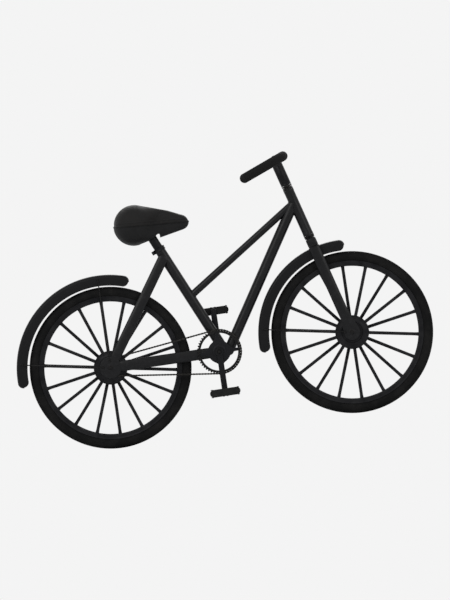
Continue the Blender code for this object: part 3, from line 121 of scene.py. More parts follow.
def seat_axis(height):
    """The point of the seat tube's axis at a height above the ground."""
    return CRANK + Vector((SEAT_AXIS_TO_CRANK, 0, 0)) + SEAT_AXIS * ((height - CRANK.z) / SEAT_AXIS.z)


def polar(centre, radius, degrees, y=0.0):
    angle = math.radians(degrees)
    return Vector((centre[0] + radius * math.cos(angle), y, centre[2] + radius * math.sin(angle)))


def aside(y):
    return Vector((0, y, 0))


def shift(x, y, z):
    return Matrix.Translation((x, y, z))


def along(start, direction, across=(0, 1, 0)):
    """A frame with local Z along a direction and local Y as near as can be to another."""
    z = Vector(direction).normalized()
    x = Vector(across).cross(z).normalized()
    return Matrix.Translation(start) @ Matrix((x, z.cross(x), z)).transposed().to_4x4()


def outward(centre, y, side):
    """On an axle, this far out on a side: local Z outwards, local Y straight up."""
    return along((centre[0], side * y, centre[2]), (0, side, 0), UP)


# Shapes: each is a list of points and a list of faces

def quads(rows, width, round_rows=True, round_width=True):
    """Faces between neighbouring rows of points, closed round in either direction where asked."""
    return [(a * width + b, (a + 1) % rows * width + b,
             (a + 1) % rows * width + (b + 1) % width, a * width + (b + 1) % width)
            for a in range(rows if round_rows else rows - 1)
            for b in range(width if round_width else width - 1)]


def turned(profile, place, steps=48):
    """A closed outline of (radius, height) turned about local Z, without faces on the axis itself."""
    rows = len(profile)
    points = []
    for k in range(steps):
        angle = 2 * math.pi * k / steps
        points += [place @ Vector((r * math.cos(angle), r * math.sin(angle), h)) for r, h in profile]
    return points, [face for face in quads(steps, rows)
                    if profile[face[0] % rows][0] or profile[face[3] % rows][0]]


def spun(centre, profile, side=1, steps=48, y=0.0):
    """An outline of (radius, distance along an axle) turned about it, turned over for the right side."""
    outline = [(r, h * side) for r, h in (profile if side > 0 else reversed(profile))]
    return turned(outline, outward(centre, y, 1), steps)


def column(height, profile, steps=72):
    """An outline of (radius, height) turned about the steering axis."""
    return turned(profile, along(steer(height), STEER_AXIS), steps)


def both_ways(half):
    """Half an outline with its mirror image after it."""
    return half + [(r, -h) for r, h in reversed(half)]


def bar(start, end, radius, steps, edge=0.0, across=(0, 1, 0)):
    """A round bar from one point to another, its end edges rounded off."""
    start, end = Vector(start), Vector(end)
    length = (end - start).length
    half = [(0, 0), (radius, 0)]
    if edge:
        turns = [math.pi / 2 * k / 3 for k in range(4)]
        half[1:] = [(radius - edge * (1 - math.sin(t)), edge * (1 - math.cos(t))) for t in turns]
    outline = half + [(r, length - h) for r, h in reversed(half)]
    return turned(outline, along(start, end - start, across), steps)


def cross_bar(centre, radius, low, high, steps=32, edge=0.0005):
    """A round bar along the axle direction, from one y to another."""
    return bar((centre[0], low, centre[2]), (centre[0], high, centre[2]), radius, steps, edge, UP)


def arc(centre, radius, start, end, steps):
    """Points of an arc in (x, z), its angles in degrees."""
    turns = (math.radians(start + (end - start) * i / steps) for i in range(steps + 1))
    return [(centre[0] + radius * math.cos(t), centre[2] + radius * math.sin(t)) for t in turns]


def disc(centre, radius, steps):
    return arc(centre, radius, 0, 360, steps)[:-1]


def circle(radius, steps):
    return disc((0, 0, 0), radius, steps)


def belt(first, first_r, second, second_r, steps=24):
    """The outline of a belt round two circles."""
    dx, dz = second[0] - first[0], second[2] - first[2]
    heading = math.degrees(math.atan2(dz, dx))
    lean = math.degrees(math.acos((first_r - second_r) / math.hypot(dx, dz)))
    return (arc(second, second_r, heading - lean, heading + lean, steps)
            + arc(first, first_r, heading + lean, heading + 360 - lean, steps))


def swept(path, section, closed=False, facing=None):
    """A closed section carried along a path; it may be a function of the share of the way."""
    count = len(path)
    side = None
    points = []
    for i, point in enumerate(path):
        before = path[i - 1] if closed or i else point
        after = path[(i + 1) % count] if closed or i < count - 1 else point
        ahead = (after - before).normalized()
        side = facing[i] if facing else side or ahead.orthogonal()
        side = (side - ahead * side.dot(ahead)).normalized()
        up = ahead.cross(side)
        outline = section(i / (count - 1)) if callable(section) else section
        points += [point + side * x + up * y for x, y in outline]
    rows = len(outline)
    ends = [] if closed else [tuple(range(rows)), tuple(range((count - 1) * rows, count * rows))]
    return points, quads(count, rows, closed) + ends


def ovals(path, sizes, facing, steps):
    """An oval bar through a path, with half its height and half its width at each point."""
    def oval(share):
        high, wide = sizes[round(share * (len(path) - 1))]
        return [(high * x, wide * y) for x, y in circle(1, steps)]
    return swept(path, oval, facing=[facing] * len(path))


def bead(loop, centre, section):
    """A section carried round a closed loop, always facing away from its centre."""
    return swept(loop, section, closed=True, facing=[p - centre for p in loop])


def plate(loops, low, high, edge, place=None, edge_steps=2):
    """Closed (x, z) outlines, the inner ones as holes, as thick as from one y to another."""
    curve = bpy.data.curves.new("plate", "CURVE")
    curve.dimensions = "2D"
    curve.fill_mode = "BOTH"
    curve.extrude = abs(high - low) / 2 - edge
    curve.bevel_depth = edge
    curve.bevel_resolution = edge_steps
    curve.offset = -edge
    for loop in loops:
        spline = curve.splines.new("POLY")
        spline.points.add(len(loop) - 1)
        for point, (x, y) in zip(spline.points, loop):
            point.co = (x, y, 0, 1)
        spline.use_cyclic_u = True
    obj = bpy.data.objects.new("plate", curve)
    mesh = bpy.data.meshes.new_from_object(obj)
    place = place or Matrix(((1, 0, 0, 0), (0, 0, -1, (low + high) / 2), (0, 1, 0, 0), (0, 0, 0, 1)))
    points = [place @ v.co for v in mesh.vertices]
    faces = [tuple(p.vertices) for p in mesh.polygons]
    bpy.data.objects.remove(obj)
    bpy.data.curves.remove(curve)
    bpy.data.meshes.remove(mesh)
    return points, faces


def block(size, place, edge, edge_steps=2):
    """A box with rounded edges."""
    work = bmesh.new()
    bmesh.ops.create_cube(work, size=1, matrix=Matrix.Diagonal((*size, 1)))
    bmesh.ops.bevel(work, geom=work.edges, offset=edge, segments=edge_steps, profile=0.5, affect="EDGES")
    points = [place @ v.co for v in work.verts]
    faces = [tuple(v.index for v in f.verts) for f in work.faces]
    work.free()
    return points, faces


def stud(place, width, length, height, slope=0.0006):
    """A low block with sloping sides."""
    rows = []
    for inset, level in ((0, 0), (slope, height)):
        x, y = width / 2 - inset, length / 2 - inset
        rows.append([place @ Vector((a, b, level)) for a, b in ((-x, -y), (x, -y), (x, y), (-x, y))])
    return skin(rows, True)


def skin(rows, closed):
    """A skin over rows of equal length, each row closed or open, with both end rows filled."""
    width = len(rows[0])
    points = [p for row in rows for p in row]
    ends = [tuple(range(width)), tuple(range(len(points) - width, len(points)))]
    return points, quads(len(rows), width, False, closed) + ends


def lined(outer, inner):
    """Two skins a wall apart, joined all round their edge; the rows of each are of equal length."""
    count, width = len(outer), len(outer[0])
    size = count * width
    points = [p for rows in (outer, inner) for row in rows for p in row]
    skins = quads(count, width, False, False)
    faces = [tuple(i + base for i in face) for base in (0, size) for face in skins]
    edge = [a * width + b for a, b in edge_of(count, width)]
    faces += [(here, there, there + size, here + size) for here, there in zip(edge, edge[1:] + edge[:1])]
    return points, faces


def edge_of(count, width):
    """The (row, place) of every point round the edge of a skin, in order."""
    return ([(a, 0) for a in range(count)] + [(count - 1, b) for b in range(1, width)]
            + [(a, width - 1) for a in range(count - 2, -1, -1)] + [(0, b) for b in range(width - 2, 0, -1)])


def hex_head(place, across, height, washer=0.0):
    """A bolt head or nut with six chamfered sides, on a thin washer where one is asked for."""
    r = across / math.sqrt(3)
    chamfer = r * 0.08
    parts = [turned([(0, 0), (r, 0), (r, height - chamfer), (r - chamfer, height), (0, height)],
                    place @ shift(0, 0, washer), 6)]
    if washer:
        inner, outer = across * 0.62, across * 0.68
        ring = [(0, 0), (inner, 0), (outer, washer * 0.3), (outer, washer * 0.7), (inner, washer),
                (0, washer)]
        parts.append(turned(ring, place, 32))
    return parts


def socket_head(place, radius, height):
    """A round bolt head with a hexagonal socket in it."""
    key, floor_at, edge = radius * 0.52, height * 0.35, 0.0004
    return [turned([(key, floor_at), (key, height), (radius - edge, height), (radius, height - edge),
                    (radius, 0), (0, 0), (0, floor_at)], place, 24)]


def threads(place, radius, length):
    """The end of a screw thread, turned as fine rings."""
    pitch = 0.00125
    count = max(2, int(length / pitch))
    outline = [(0, 0)]
    for k in range(count):
        outline += [(radius - 0.0005, k * pitch), (radius, (k + 0.5) * pitch)]
    return turned(outline + [(radius - 0.0006, count * pitch), (0, count * pitch)], place, 24)


def reach_to(point, ahead, other, axis, other_r):
    """How far on from a point, along a direction, the side of another tube lies."""
    offset = point - other
    a = ahead - axis * ahead.dot(axis)
    b = offset - axis * offset.dot(axis)
    root = b.dot(a) ** 2 - a.dot(a) * (b.dot(b) - other_r ** 2)
    return (-b.dot(a) - math.sqrt(max(0, root))) / a.dot(a)


def weld(start, ahead, radius, other):
    """A smooth bead where one tube runs into the side of another."""
    turn = along(start, ahead).to_3x3()
    facing = [turn @ Vector((x, y, 0)) for x, y in circle(1, 72)]
    roots = [start + way * radius for way in facing]
    path = [root + ahead * reach_to(root, ahead, *other) for root in roots]
    return swept(path, circle(0.0022, 8), closed=True, facing=facing)


def coped(start, end, radius, behind=None, before=None, wall=0.0016):
    """A tube whose ends follow the sides of the tubes that it runs into, 0.4 mm deep."""
    ahead = (end - start).normalized()
    turn = along(start, ahead).to_3x3()
    points, steps, sunk = [], 72, 0.0004
    for x, y in circle(1, steps):
        for r, back in ((radius, 1), (radius - wall, -1)):
            spread = turn @ Vector((x * r, y * r, 0))
            low, high = start + spread, end + spread
            middle = (low + high) / 2
            if behind:
                low = middle - ahead * (reach_to(middle, -ahead, *behind) + sunk)
            if before:
                high = middle + ahead * (reach_to(middle, ahead, *before) + sunk)
            points += [low, high][::back]
    return points, quads(steps, 4)


# Objects

def mesh_of(name, shapes):
    """One mesh of several shapes, with doubles merged and faces turned outwards."""
    points, faces = [], []
    for more, loops in shapes:
        base = len(points)
        points += more
        faces += [tuple(i + base for i in loop) for loop in loops]
    mesh = bpy.data.meshes.new(name)
    mesh.from_pydata(points, [], faces)
    return cleaned(mesh)


def cleaned(mesh):
    """The mesh with its doubles merged, nothing loose and its faces outwards."""
    work = bmesh.new()
    work.from_mesh(mesh)
    bmesh.ops.remove_doubles(work, verts=work.verts, dist=1e-6)
    bmesh.ops.dissolve_degenerate(work, edges=work.edges, dist=1e-7)
    bmesh.ops.delete(work, geom=[v for v in work.verts if not v.link_faces], context="VERTS")
    bmesh.ops.recalc_face_normals(work, faces=work.faces)
    work.to_mesh(mesh)
    work.free()
    return mesh


def line_of(path, closed):
    """A mesh that is only a line through points."""
    count = len(path)
    mesh = bpy.data.meshes.new("line")
    mesh.from_pydata(path, [(i, (i + 1) % count) for i in range(count if closed else count - 1)], [])
    return mesh


def loose(name, mesh):
    """A working object that isn't a piece yet."""
    obj = bpy.data.objects.new(name, mesh)
    bpy.context.scene.collection.objects.link(obj)
    return obj


def settled(obj):
    """The object's mesh with its modifiers applied; the object itself is removed."""
    bpy.context.view_layer.update()
    graph = bpy.context.evaluated_depsgraph_get()
    mesh = bpy.data.meshes.new_from_object(obj.evaluated_get(graph))
    bpy.data.objects.remove(obj)
    return mesh


def carved(shapes, *cutters):
    """A mesh of some shapes with others cut out of it."""
    body = loose("body", shapes if isinstance(shapes, bpy.types.Mesh) else mesh_of("body", shapes))
    tools = [loose("tool", mesh_of("tool", [cutter])) for cutter in cutters]
    for tool in tools:
        cut = body.modifiers.new("cut", "BOOLEAN")
        cut.operation = "DIFFERENCE"
        cut.object = tool
    result = settled(body)
    for tool in tools:
        bpy.data.objects.remove(tool)
    return result


def fit(name, made, material, body, stands_for=None, sharp=35):
    """A finished piece on its body. One called ..._full stands for the CAD node of that name."""
    mesh = mesh_of(name, made) if isinstance(made, list) else made
    mesh.name = name
    obj = loose(name, mesh)
    mesh.materials.clear()
    mesh.materials.append(material)
    mesh.shade_smooth()
    mesh.set_sharp_from_angle(angle=math.radians(sharp))
    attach(obj, body)
    if name.endswith("_full"):
        stands_for = name.removesuffix("_full")
    if stands_for:
        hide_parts(stands_for)
    return obj


# Node trees

def node(tree, kind, *inputs, **settings):
    """A node with its settings and its inputs in order: values are set, sockets are linked."""
    made = tree.nodes.new(kind)
    for key, value in settings.items():
        setattr(made, key, value)
    for socket, value in zip(made.inputs, inputs):
        if isinstance(value, bpy.types.NodeSocket):
            tree.links.new(value, socket)
        elif value is not None:
            socket.default_value = value
    return made


def calc(tree, operation, *inputs):
    return node(tree, "ShaderNodeMath", *inputs, operation=operation).outputs[0]


def new_tree(name, **sizes):
    """A geometry tree with named inputs; gives the tree, its inputs, its output node and its sums."""
    tree = bpy.data.node_groups.new(name, "GeometryNodeTree")
    tree.interface.new_socket("Geometry", in_out="OUTPUT", socket_type="NodeSocketGeometry")
    tree.interface.new_socket("Geometry", in_out="INPUT", socket_type="NodeSocketGeometry")
    for key, kind in sizes.items():
        tree.interface.new_socket(key.replace("_", " "), in_out="INPUT", socket_type="NodeSocket" + kind)
    return tree, node(tree, "NodeGroupInput").outputs, node(tree, "NodeGroupOutput"), partial(calc, tree)


def close_tree(tree, geometry, finish, out):
    """Every tree ends by making its instances real and giving them their finish."""
    real = node(tree, "GeometryNodeRealizeInstances", geometry)
    done = node(tree, "GeometryNodeSetMaterial", real.outputs[0], None, finish)
    tree.links.new(done.outputs[0], out.inputs[0])
    return tree


def grown(tree, mesh, **sizes):
    """The plain mesh that a tree makes of a mesh, with these sizes."""
    obj = loose("grown", mesh)
    modifier = obj.modifiers.new("grown", "NODES")
    modifier.node_group = tree
    ids = {item.name: item.identifier for item in tree.interface.items_tree if item.in_out == "INPUT"}
    for key, value in sizes.items():
        modifier[ids[key.replace("_", " ")]] = value
    return settled(obj)


def round_an_axle_tree():
    """Copies set round an axle: each has its local X outwards and its local Y along the axle."""
    tree, sizes, out, do = new_tree("round_an_axle", Count="Int", Radius="Float", First_angle="Float",
                                    Step_angle="Float", Centre="Vector", Finish="Material")
    index = node(tree, "GeometryNodeInputIndex").outputs[0]
    angle = do("MULTIPLY_ADD", index, sizes["Step angle"], sizes["First angle"])
    across, up = (do("MULTIPLY", do(wave, angle), sizes["Radius"]) for wave in ("COSINE", "SINE"))
    spot = node(tree, "ShaderNodeCombineXYZ", across, 0.0, up).outputs[0]
    place = node(tree, "ShaderNodeVectorMath", spot, sizes["Centre"], operation="ADD").outputs[0]
    points = node(tree, "GeometryNodePoints", sizes["Count"], place).outputs[0]
    turn = node(tree, "ShaderNodeCombineXYZ", 0.0, do("MULTIPLY", angle, -1.0), 0.0).outputs[0]
    rotation = node(tree, "FunctionNodeEulerToRotation", turn).outputs[0]
    copies = node(tree, "GeometryNodeInstanceOnPoints", points, None, sizes["Geometry"], None, None, rotation)
    return close_tree(tree, copies.outputs[0], sizes["Finish"], out)


def along_a_path_tree(pivot):
    """Copies set at equal steps along a path, all of them or every second one."""
    tree, sizes, out, do = new_tree("along_a_path", Path="Object", Count="Int", Every="Int", Phase="Int",
                                    Finish="Material")
    path = node(tree, "GeometryNodeObjectInfo", sizes["Path"]).outputs["Geometry"]
    curve = node(tree, "GeometryNodeMeshToCurve", path).outputs[0]
    even = node(tree, "GeometryNodeResampleCurve", curve, mode="COUNT")
    tree.links.new(sizes["Count"], even.inputs["Count"])
    index = node(tree, "GeometryNodeInputIndex").outputs[0]
    turn = do("MODULO", do("ADD", index, sizes["Phase"]), sizes["Every"])
    chosen = node(tree, "FunctionNodeCompare", turn, 0.5, operation="LESS_THAN").outputs[0]
    tangent = node(tree, "GeometryNodeInputTangent").outputs[0]
    rotation = node(tree, "FunctionNodeAlignRotationToVector", None, None, tangent, axis="X",
                    pivot_axis=pivot)
    copies = node(tree, "GeometryNodeInstanceOnPoints", even.outputs[0], chosen, sizes["Geometry"], None,
                  None, rotation.outputs[0])
    return close_tree(tree, copies.outputs[0], sizes["Finish"], out)


def ribbed_sleeve_tree():
    """A round-ended sleeve along a path, with grooves round it at equal steps."""
    tree, sizes, out, do = new_tree("ribbed_sleeve", Radius="Float", Groove_pitch="Float",
                                    Groove_depth="Float", Plain_end="Float", Step="Float", Finish="Material")
    curve = node(tree, "GeometryNodeMeshToCurve", sizes["Geometry"]).outputs[0]
    even = node(tree, "GeometryNodeResampleCurve", curve, mode="LENGTH")
    tree.links.new(sizes["Step"], even.inputs["Length"])
    length = node(tree, "GeometryNodeCurveLength", curve).outputs[0]
    way = node(tree, "GeometryNodeSplineParameter").outputs["Length"]
    left = do("SUBTRACT", length, way)
    inward = do("SUBTRACT", 1.0, do("MINIMUM", do("DIVIDE", left, sizes["Radius"]), 1.0))
    dome = do("SQRT", do("MAXIMUM", do("SUBTRACT", 1.0, do("MULTIPLY", inward, inward)), 0.0))
    wave = do("COSINE", do("MULTIPLY", do("DIVIDE", way, sizes["Groove pitch"]), 2 * math.pi))
    narrow = do("MULTIPLY", do("POWER", do("MAXIMUM", wave, 0.0), 3.0), sizes["Groove depth"])
    ribbed = do("MULTIPLY", *(do("GREATER_THAN", end, sizes["Plain end"]) for end in (left, way)))
    mouth = do("MULTIPLY", do("MINIMUM", do("DIVIDE", way, MOUTH_LENGTH), 1.0), MOUTH_TAPER)
    radius = do("SUBTRACT", do("ADD", do("SUBTRACT", sizes["Radius"], MOUTH_TAPER), mouth),
                do("MULTIPLY", narrow, ribbed))
    ring = node(tree, "GeometryNodeCurvePrimitiveCircle", 40).outputs[0]
    ring.node.inputs["Radius"].default_value = 1.0
    sleeve = node(tree, "GeometryNodeCurveToMesh", even.outputs[0], ring, do("MULTIPLY", radius, dome), True)
    return close_tree(tree, sleeve.outputs[0], sizes["Finish"], out)


ROUND_AN_AXLE = round_an_axle_tree()
ALONG_A_CHAIN = along_a_path_tree("Y")
ALONG_A_SEAM = along_a_path_tree("Z")
RIBBED_SLEEVE = ribbed_sleeve_tree()


def ring_of(shapes, count, radius, centre, finish, first=0.0):
    """A ring of copies round an axle, from a shape drawn at the origin."""
    return grown(ROUND_AN_AXLE, mesh_of("copy", shapes), Count=count, Radius=radius,
                 First_angle=math.radians(first), Step_angle=math.radians(360 / count),
                 Centre=tuple(centre), Finish=finish)


def row_of(tree, shapes, path, count, finish, every=1, phase=0):
    """Copies along a closed path, from a shape drawn at the origin with its local X ahead."""
    guide = loose("path", line_of(path, True))
    made = grown(tree, mesh_of("copy", shapes), Path=guide, Count=count, Every=every, Phase=phase,
                 Finish=finish)
    bpy.data.objects.remove(guide)
    return made


# Finishes: colours in thousandths, relief in millimetres


def finish(name, colour, roughness, metallic=0.0, specular=0.3, coat=0.0, coat_roughness=0.1):
    """A new material; gives its tree, its shader and a vector of the piece's own coordinates."""
    material = bpy.data.materials.new(name)
    material.use_nodes = True
    tree = material.node_tree
    shader = tree.nodes["Principled BSDF"]
    for key, value in (("Base Color", tint(colour)), ("Roughness", roughness), ("Metallic", metallic),
                       ("Specular IOR Level", specular), ("Coat Weight", coat),
                       ("Coat Roughness", coat_roughness)):
        shader.inputs[key].default_value = value
    return material, tree, shader, node(tree, "ShaderNodeTexCoord").outputs["Object"]


def tint(colour):
    return (*(c / 1000 for c in colour), 1)


def speckle(tree, coords, scale, detail, stretch=(1, 1, 1), rough=0.55):
    """Noise over the piece, from 0 to 1."""
    placed = node(tree, "ShaderNodeMapping", coords)
    placed.inputs["Scale"].default_value = stretch
    noise = node(tree, "ShaderNodeTexNoise", placed.outputs[0])
    for key, value in (("Scale", scale), ("Detail", detail), ("Roughness", rough)):
        noise.inputs[key].default_value = value
    return noise.outputs[0]


def pores(tree, coords, scale, feature):
    """Cells over the piece: the distance to the nearest one's middle, or to its edge, from 0 to 1."""
    cells = node(tree, "ShaderNodeTexVoronoi", coords, feature=feature)
    cells.inputs["Scale"].default_value = scale
    distance = cells.outputs["Distance"]
    return distance if feature == "F1" else between(tree, distance, 0, 1, 0.0, 0.12)


def between(tree, share, low, high, from_low=0.3, from_high=0.7):
    """A value mapped from one range to another."""
    return node(tree, "ShaderNodeMapRange", share, from_low, from_high, low, high).outputs[0]


def shade(tree, share, dark, pale):
    """A colour between two, by a share."""
    mix = node(tree, "ShaderNodeMix", data_type="RGBA")
    tree.links.new(share, mix.inputs["Factor"])
    colours = [socket for socket in mix.inputs if socket.type == "RGBA"]
    colours[0].default_value, colours[1].default_value = tint(dark), tint(pale)
    return [socket for socket in mix.outputs if socket.type == "RGBA"][0]


def surface(name, slot, colour, roughness, layers, shades, dull, bumps, **constants):
    """A finish from layers of noise or cells: one shades it from dark to pale, one sets how dull it is, and
    some stand out, by (layer, relief, strength)."""
    material, tree, shader, coords = finish(name, colour, roughness, **constants)
    fields = [(pores if isinstance(layer[1], str) else speckle)(tree, coords, *layer) for layer in layers]
    layer, low, high, dark, pale = shades
    share = between(tree, fields[layer], 0, 1, low, high)
    tree.links.new(shade(tree, share, dark, pale), shader.inputs["Base Color"])
    layer, low, high = dull
    tree.links.new(between(tree, fields[layer], low, high), shader.inputs["Roughness"])
    normal = None
    for layer, depth, strength in bumps:
        bump = node(tree, "ShaderNodeBump")
        bump.inputs["Strength"].default_value = strength
        bump.inputs["Distance"].default_value = depth / 1000
        tree.links.new(fields[layer], bump.inputs["Height"])
        if normal:
            tree.links.new(normal, bump.inputs["Normal"])
        normal = bump.outputs[0]
    tree.links.new(normal, shader.inputs["Normal"])
    return material


EVEN = (1, 1, 1)
# Gloss enamel on steel tube: a faint orange peel, dust in the hollows and fine rub marks
ENAMEL = surface("black_enamel", "frame_paint", (4, 4, 4.4), 0.3, [(9, 5), (60, 8, (1, 4, 1), 0.7), (420, 1)],
                 (1, 0.5, 0.78, (3.5, 3.5, 4), (11, 11, 12)), (0, 0.24, 0.42),
                 [(2, 0.12, 0.25), (1, 0.05, 0.15)], specular=0.14, coat=0.12, coat_roughness=0.12)
# Matt vulcanised rubber with a fine moulded grain and dusty patches
TYRE_RUBBER = surface("tyre_rubber", "tyre_rubber", (11, 11, 11), 0.85, [(16, 7, EVEN, 0.65), (900, 2)],
                      (0, 0.42, 0.72, (5, 5, 5), (13, 12.5, 12)), (0, 0.72, 0.93),
                      [(1, 0.2, 0.5), (0, 0.6, 0.25)], specular=0.08)
# Soft black rubber with a pebbled skin, worn smoother in places
GRIP_RUBBER = surface("grip_rubber", "grip_rubber", (6, 6, 6), 0.7, [(700, "F1"), (26, 4)],
                      (1, 0.3, 0.7, (5, 5, 5), (9, 9, 9)), (1, 0.55, 0.8), [(0, 0.35, 0.5)], specular=0.12)
# Anodised alloy, turned: fine rings of tool marks and a soft cloudiness
ALLOY = surface("black_alloy", "alloy", (18, 18, 19), 0.4, [(60, 3, (1, 45, 1)), (22, 5)],
                (1, 0.3, 0.7, (8, 8, 9), (19, 19, 20)), (0, 0.32, 0.52), [(0, 0.06, 0.35)], metallic=0.85)
# Anodised alloy plate, brushed along its length
PLATE_ALLOY = surface("brushed_black_alloy", "alloy", (18, 18, 19), 0.42, [(55, 4, (3, 3, 60)), (18, 5)],
                      (0, 0.3, 0.7, (8, 8, 9), (18, 18, 20)), (1, 0.34, 0.5), [(0, 0.05, 0.3)], metallic=0.85)
# Oiled black steel of bolts, nuts, axles and wire
STEEL = surface("blackened_steel", "steel", (20, 20, 21), 0.36, [(150, 6, EVEN, 0.65), (35, 4)],
                (0, 0.3, 0.7, (9, 9, 10), (24, 23, 22)), (1, 0.26, 0.5), [(0, 0.06, 0.3)], metallic=0.95,
                specular=0.4)
# Chain plates under old oil: dark hollows and rubbed high spots
CHAIN_STEEL = surface("oiled_chain_steel", "steel", (18, 17, 16), 0.4, [(85, 6, EVEN, 0.7)],
                      (0, 0.4, 0.65, (6, 5.5, 5), (40, 38, 35)), (0, 0.6, 0.3), [(0, 0.1, 0.4)],
                      metallic=0.85, specular=0.35)
# Moulded guard plastic with a satin skin, faint flow lines and light scratches
GUARD_PLASTIC = surface("guard_plastic", "plastic", (8, 8, 8.5), 0.42,
                        [(6, 3, (1, 5, 1)), (1100, 1), (70, 9, (1, 6, 1), 0.75)],
                        (2, 0.55, 0.8, (4.5, 4.5, 5), (11, 11, 12)), (0, 0.34, 0.52),
                        [(1, 0.1, 0.25), (2, 0.06, 0.2)], specular=0.13)
# Glass-filled nylon: a dry, coarse moulded skin
PEDAL_PLASTIC = surface("pedal_plastic", "plastic", (8, 8, 8), 0.6, [(600, 3), (40, 6)],
                        (1, 0.45, 0.7, (5.5, 5.5, 5.5), (14, 14, 13)), (1, 0.48, 0.72), [(0, 0.25, 0.45)],
                        specular=0.14)
# Pebble-grained black vinyl, smoother and shinier where it is sat on
VINYL = surface("saddle_vinyl", "cushion", (6.5, 6, 6), 0.55, [(420, "DISTANCE_TO_EDGE"), (900, 2), (14, 4)],
                (2, 0.3, 0.7, (5, 4.7, 4.7), (10.5, 10, 9.5)), (2, 0.42, 0.66),
                [(0, 0.35, 0.6), (1, 0.1, 0.3)], specular=0.15)
# The saddle shell's moulded plastic, with a leathery etched texture
SHELL_PLASTIC = surface("shell_plastic", "plastic", (7, 7, 7), 0.55, [(520, "F1"), (20, 5)],
                        (1, 0.3, 0.7, (5, 5, 5), (10, 10, 10)), (1, 0.46, 0.64), [(0, 0.2, 0.4)],
                        specular=0.14)
# Waxed thread, twisted
THREAD = surface("stitch_thread", "cushion", (30, 29, 28), 0.6, [(1500, 2, (1, 2, 1))],
                 (0, 0.3, 0.7, (14, 13, 13), (40, 38, 36)), (0, 0.5, 0.7), [(0, 0.1, 0.5)], specular=0.25)


# Wheels

def tyre(prefix, centre, body):
    """The carcass with its centre rib and sidewall lines, and the blocks of its tread."""
    middle = TYRE_R - TYRE_SECTION_R
    outline = []
    for degrees in range(-136, 137, 2):
        angle = abs(degrees)
        r = TYRE_SECTION_R - (0.0015 if 10 < angle < 54 else 0.0006 if angle > 56 else 0)
        r += 0.0005 if angle in (66, 68, 96, 98, 100, 118, 120) else 0
        outline.append((middle + r * math.cos(math.radians(degrees)), r * math.sin(math.radians(degrees))))
    inside = mm(317.6, 12.2, 307, 12.2, 307, 8.8, 317.6, 8.8, 334, 19.6, 350, 13, 354.5, 0)
    outline += inside + [(r, -y) for r, y in reversed(inside[:-1])]
    fit(prefix + "_tyre_full", [spun(centre, outline, 1, 180)], TYRE_RUBBER, body)
    rows = [(*row, side) for row in ((12, 31, 0.0082, 0.55), (34, 52, 0.0070, -0.35)) for side in (1, -1)]
    for number, row in enumerate(rows, 1):
        made = ring_of([lug(*row)], TREAD_LUGS, middle, centre, TYRE_RUBBER, row[-1])
        fit(f"{prefix}_tread_row_{number}", made, TYRE_RUBBER, body)


def lug(first, last, width, slant, side, steps=4):
    """A tread block from one angle of the tyre's section to another, slanted along the tyre."""
    middle = TYRE_R - TYRE_SECTION_R
    rows = []
    for k in range(steps + 1):
        row = []
        for r, inset, hands in ((TYRE_SECTION_R - 0.0018, 0, (-1, 1)), (TYRE_SECTION_R - 0.0001, 1, (1, -1))):
            degrees = first + 1.2 * inset + (last - first - 2.4 * inset) * k / steps
            angle = math.radians(degrees)
            drift = slant * TYRE_SECTION_R * math.radians(degrees - first)
            for hand in hands:
                z = drift + hand * (width / 2 - 0.0005 * inset)
                x = math.sqrt((middle + r * math.cos(angle)) ** 2 - z ** 2) - middle
                row.append(Vector((x, side * r * math.sin(angle), z)))
        rows.append(row)
    return skin(rows, True)


def rim(prefix, centre, body):
    """The rim's channel with rolled lips and a sunk band round its floor, and its tyre valve."""
    outer = mm(316.6, 12.8, 317, 13.8, 316.4, 14.7, 315, 15, 313.6, 14.7, 312.2, 13.9, 306, 13.9, 299, 13.2,
               295, 12.2, 293.3, 11, 292.6, 9.4, 292.6, 7.8, 293.1, 7.2)
    bed = mm(316, -12.5, 306, -11.8, 295.4, -9.2)
    fit(prefix + "_rim_full", [spun(centre, both_ways(outer) + both_ways(bed), 1, 180)], ALLOY, body)
    root = polar(centre, 0.296, 190, 0.0009)
    valve = turned(mm(0, 0, 3.2, 0, 3.2, 6, 2.5, 7, 2.5, 18, 2.7, 18.5, 2.7, 27, 1.8, 28, 0, 28),
                   along(root, centre - root), 20)
    fit(prefix + "_valve", [valve], STEEL, body)


def spokes(prefix, centre, body, hub_r):
    """The bladed spokes of each side, broader at hub and rim, with their hub flange and its rivets."""
    sizes = mm(7.2, 1, 7.4, 1.3, 7.2, 1.6, 7, 1.6, 7, 1.6, 7.4, 1.9, 8.2, 2.4)
    for word, side in SIDES:
        first = 10 if side > 0 else 30
        start, end = Vector((0.060, side * FLANGE_Y, 0)), Vector((RIM_INNER_R - 0.0002, side * 0.004, 0))
        blade = ovals([start.lerp(end, t) for t in (0, 0.05, 0.09, 0.5, 0.93, 0.97, 1)], sizes, UP, 16)
        blades = ring_of([blade], SPOKES_PER_SIDE, 0, centre, ALLOY, first)
        fit(f"{prefix}_blades_{word}", blades, ALLOY, body, stands_for=f"{prefix}_spokes_{word}")
        bore = hub_r - 0.0005
        outline = [(bore, -0.002)] + mm(74.2, -2, 75, -1.2, 75, 1.2, 74.2, 2, 72.2, 2, 71.2, 1.2, 57.5, 1,
                                        56, 1.9, 47, 1.9, 45.5, 0.7)
        outline += [(hub_r + 0.0065, 0.0007), (hub_r + 0.005, 0.002), (bore, 0.002)]
        fit(f"{prefix}_flange_{word}", [spun(centre, outline, side, 96, side * FLANGE_Y)], ALLOY, body)
        dome = turned(mm(0, -0.5, 2.1, -0.5, 2.1, 0.3, 1.6, 0.9, 0.8, 1.2, 0, 1.3),
                      outward((0, 0, 0), FLANGE_Y + 0.0014, side), 12)
        for number, r in enumerate((0.0625, 0.0685), 1):
            rivets = ring_of([dome], SPOKES_PER_SIDE, r, centre, STEEL, first)
            fit(f"{prefix}_flange_rivets_{word}_{number}", rivets, STEEL, body)


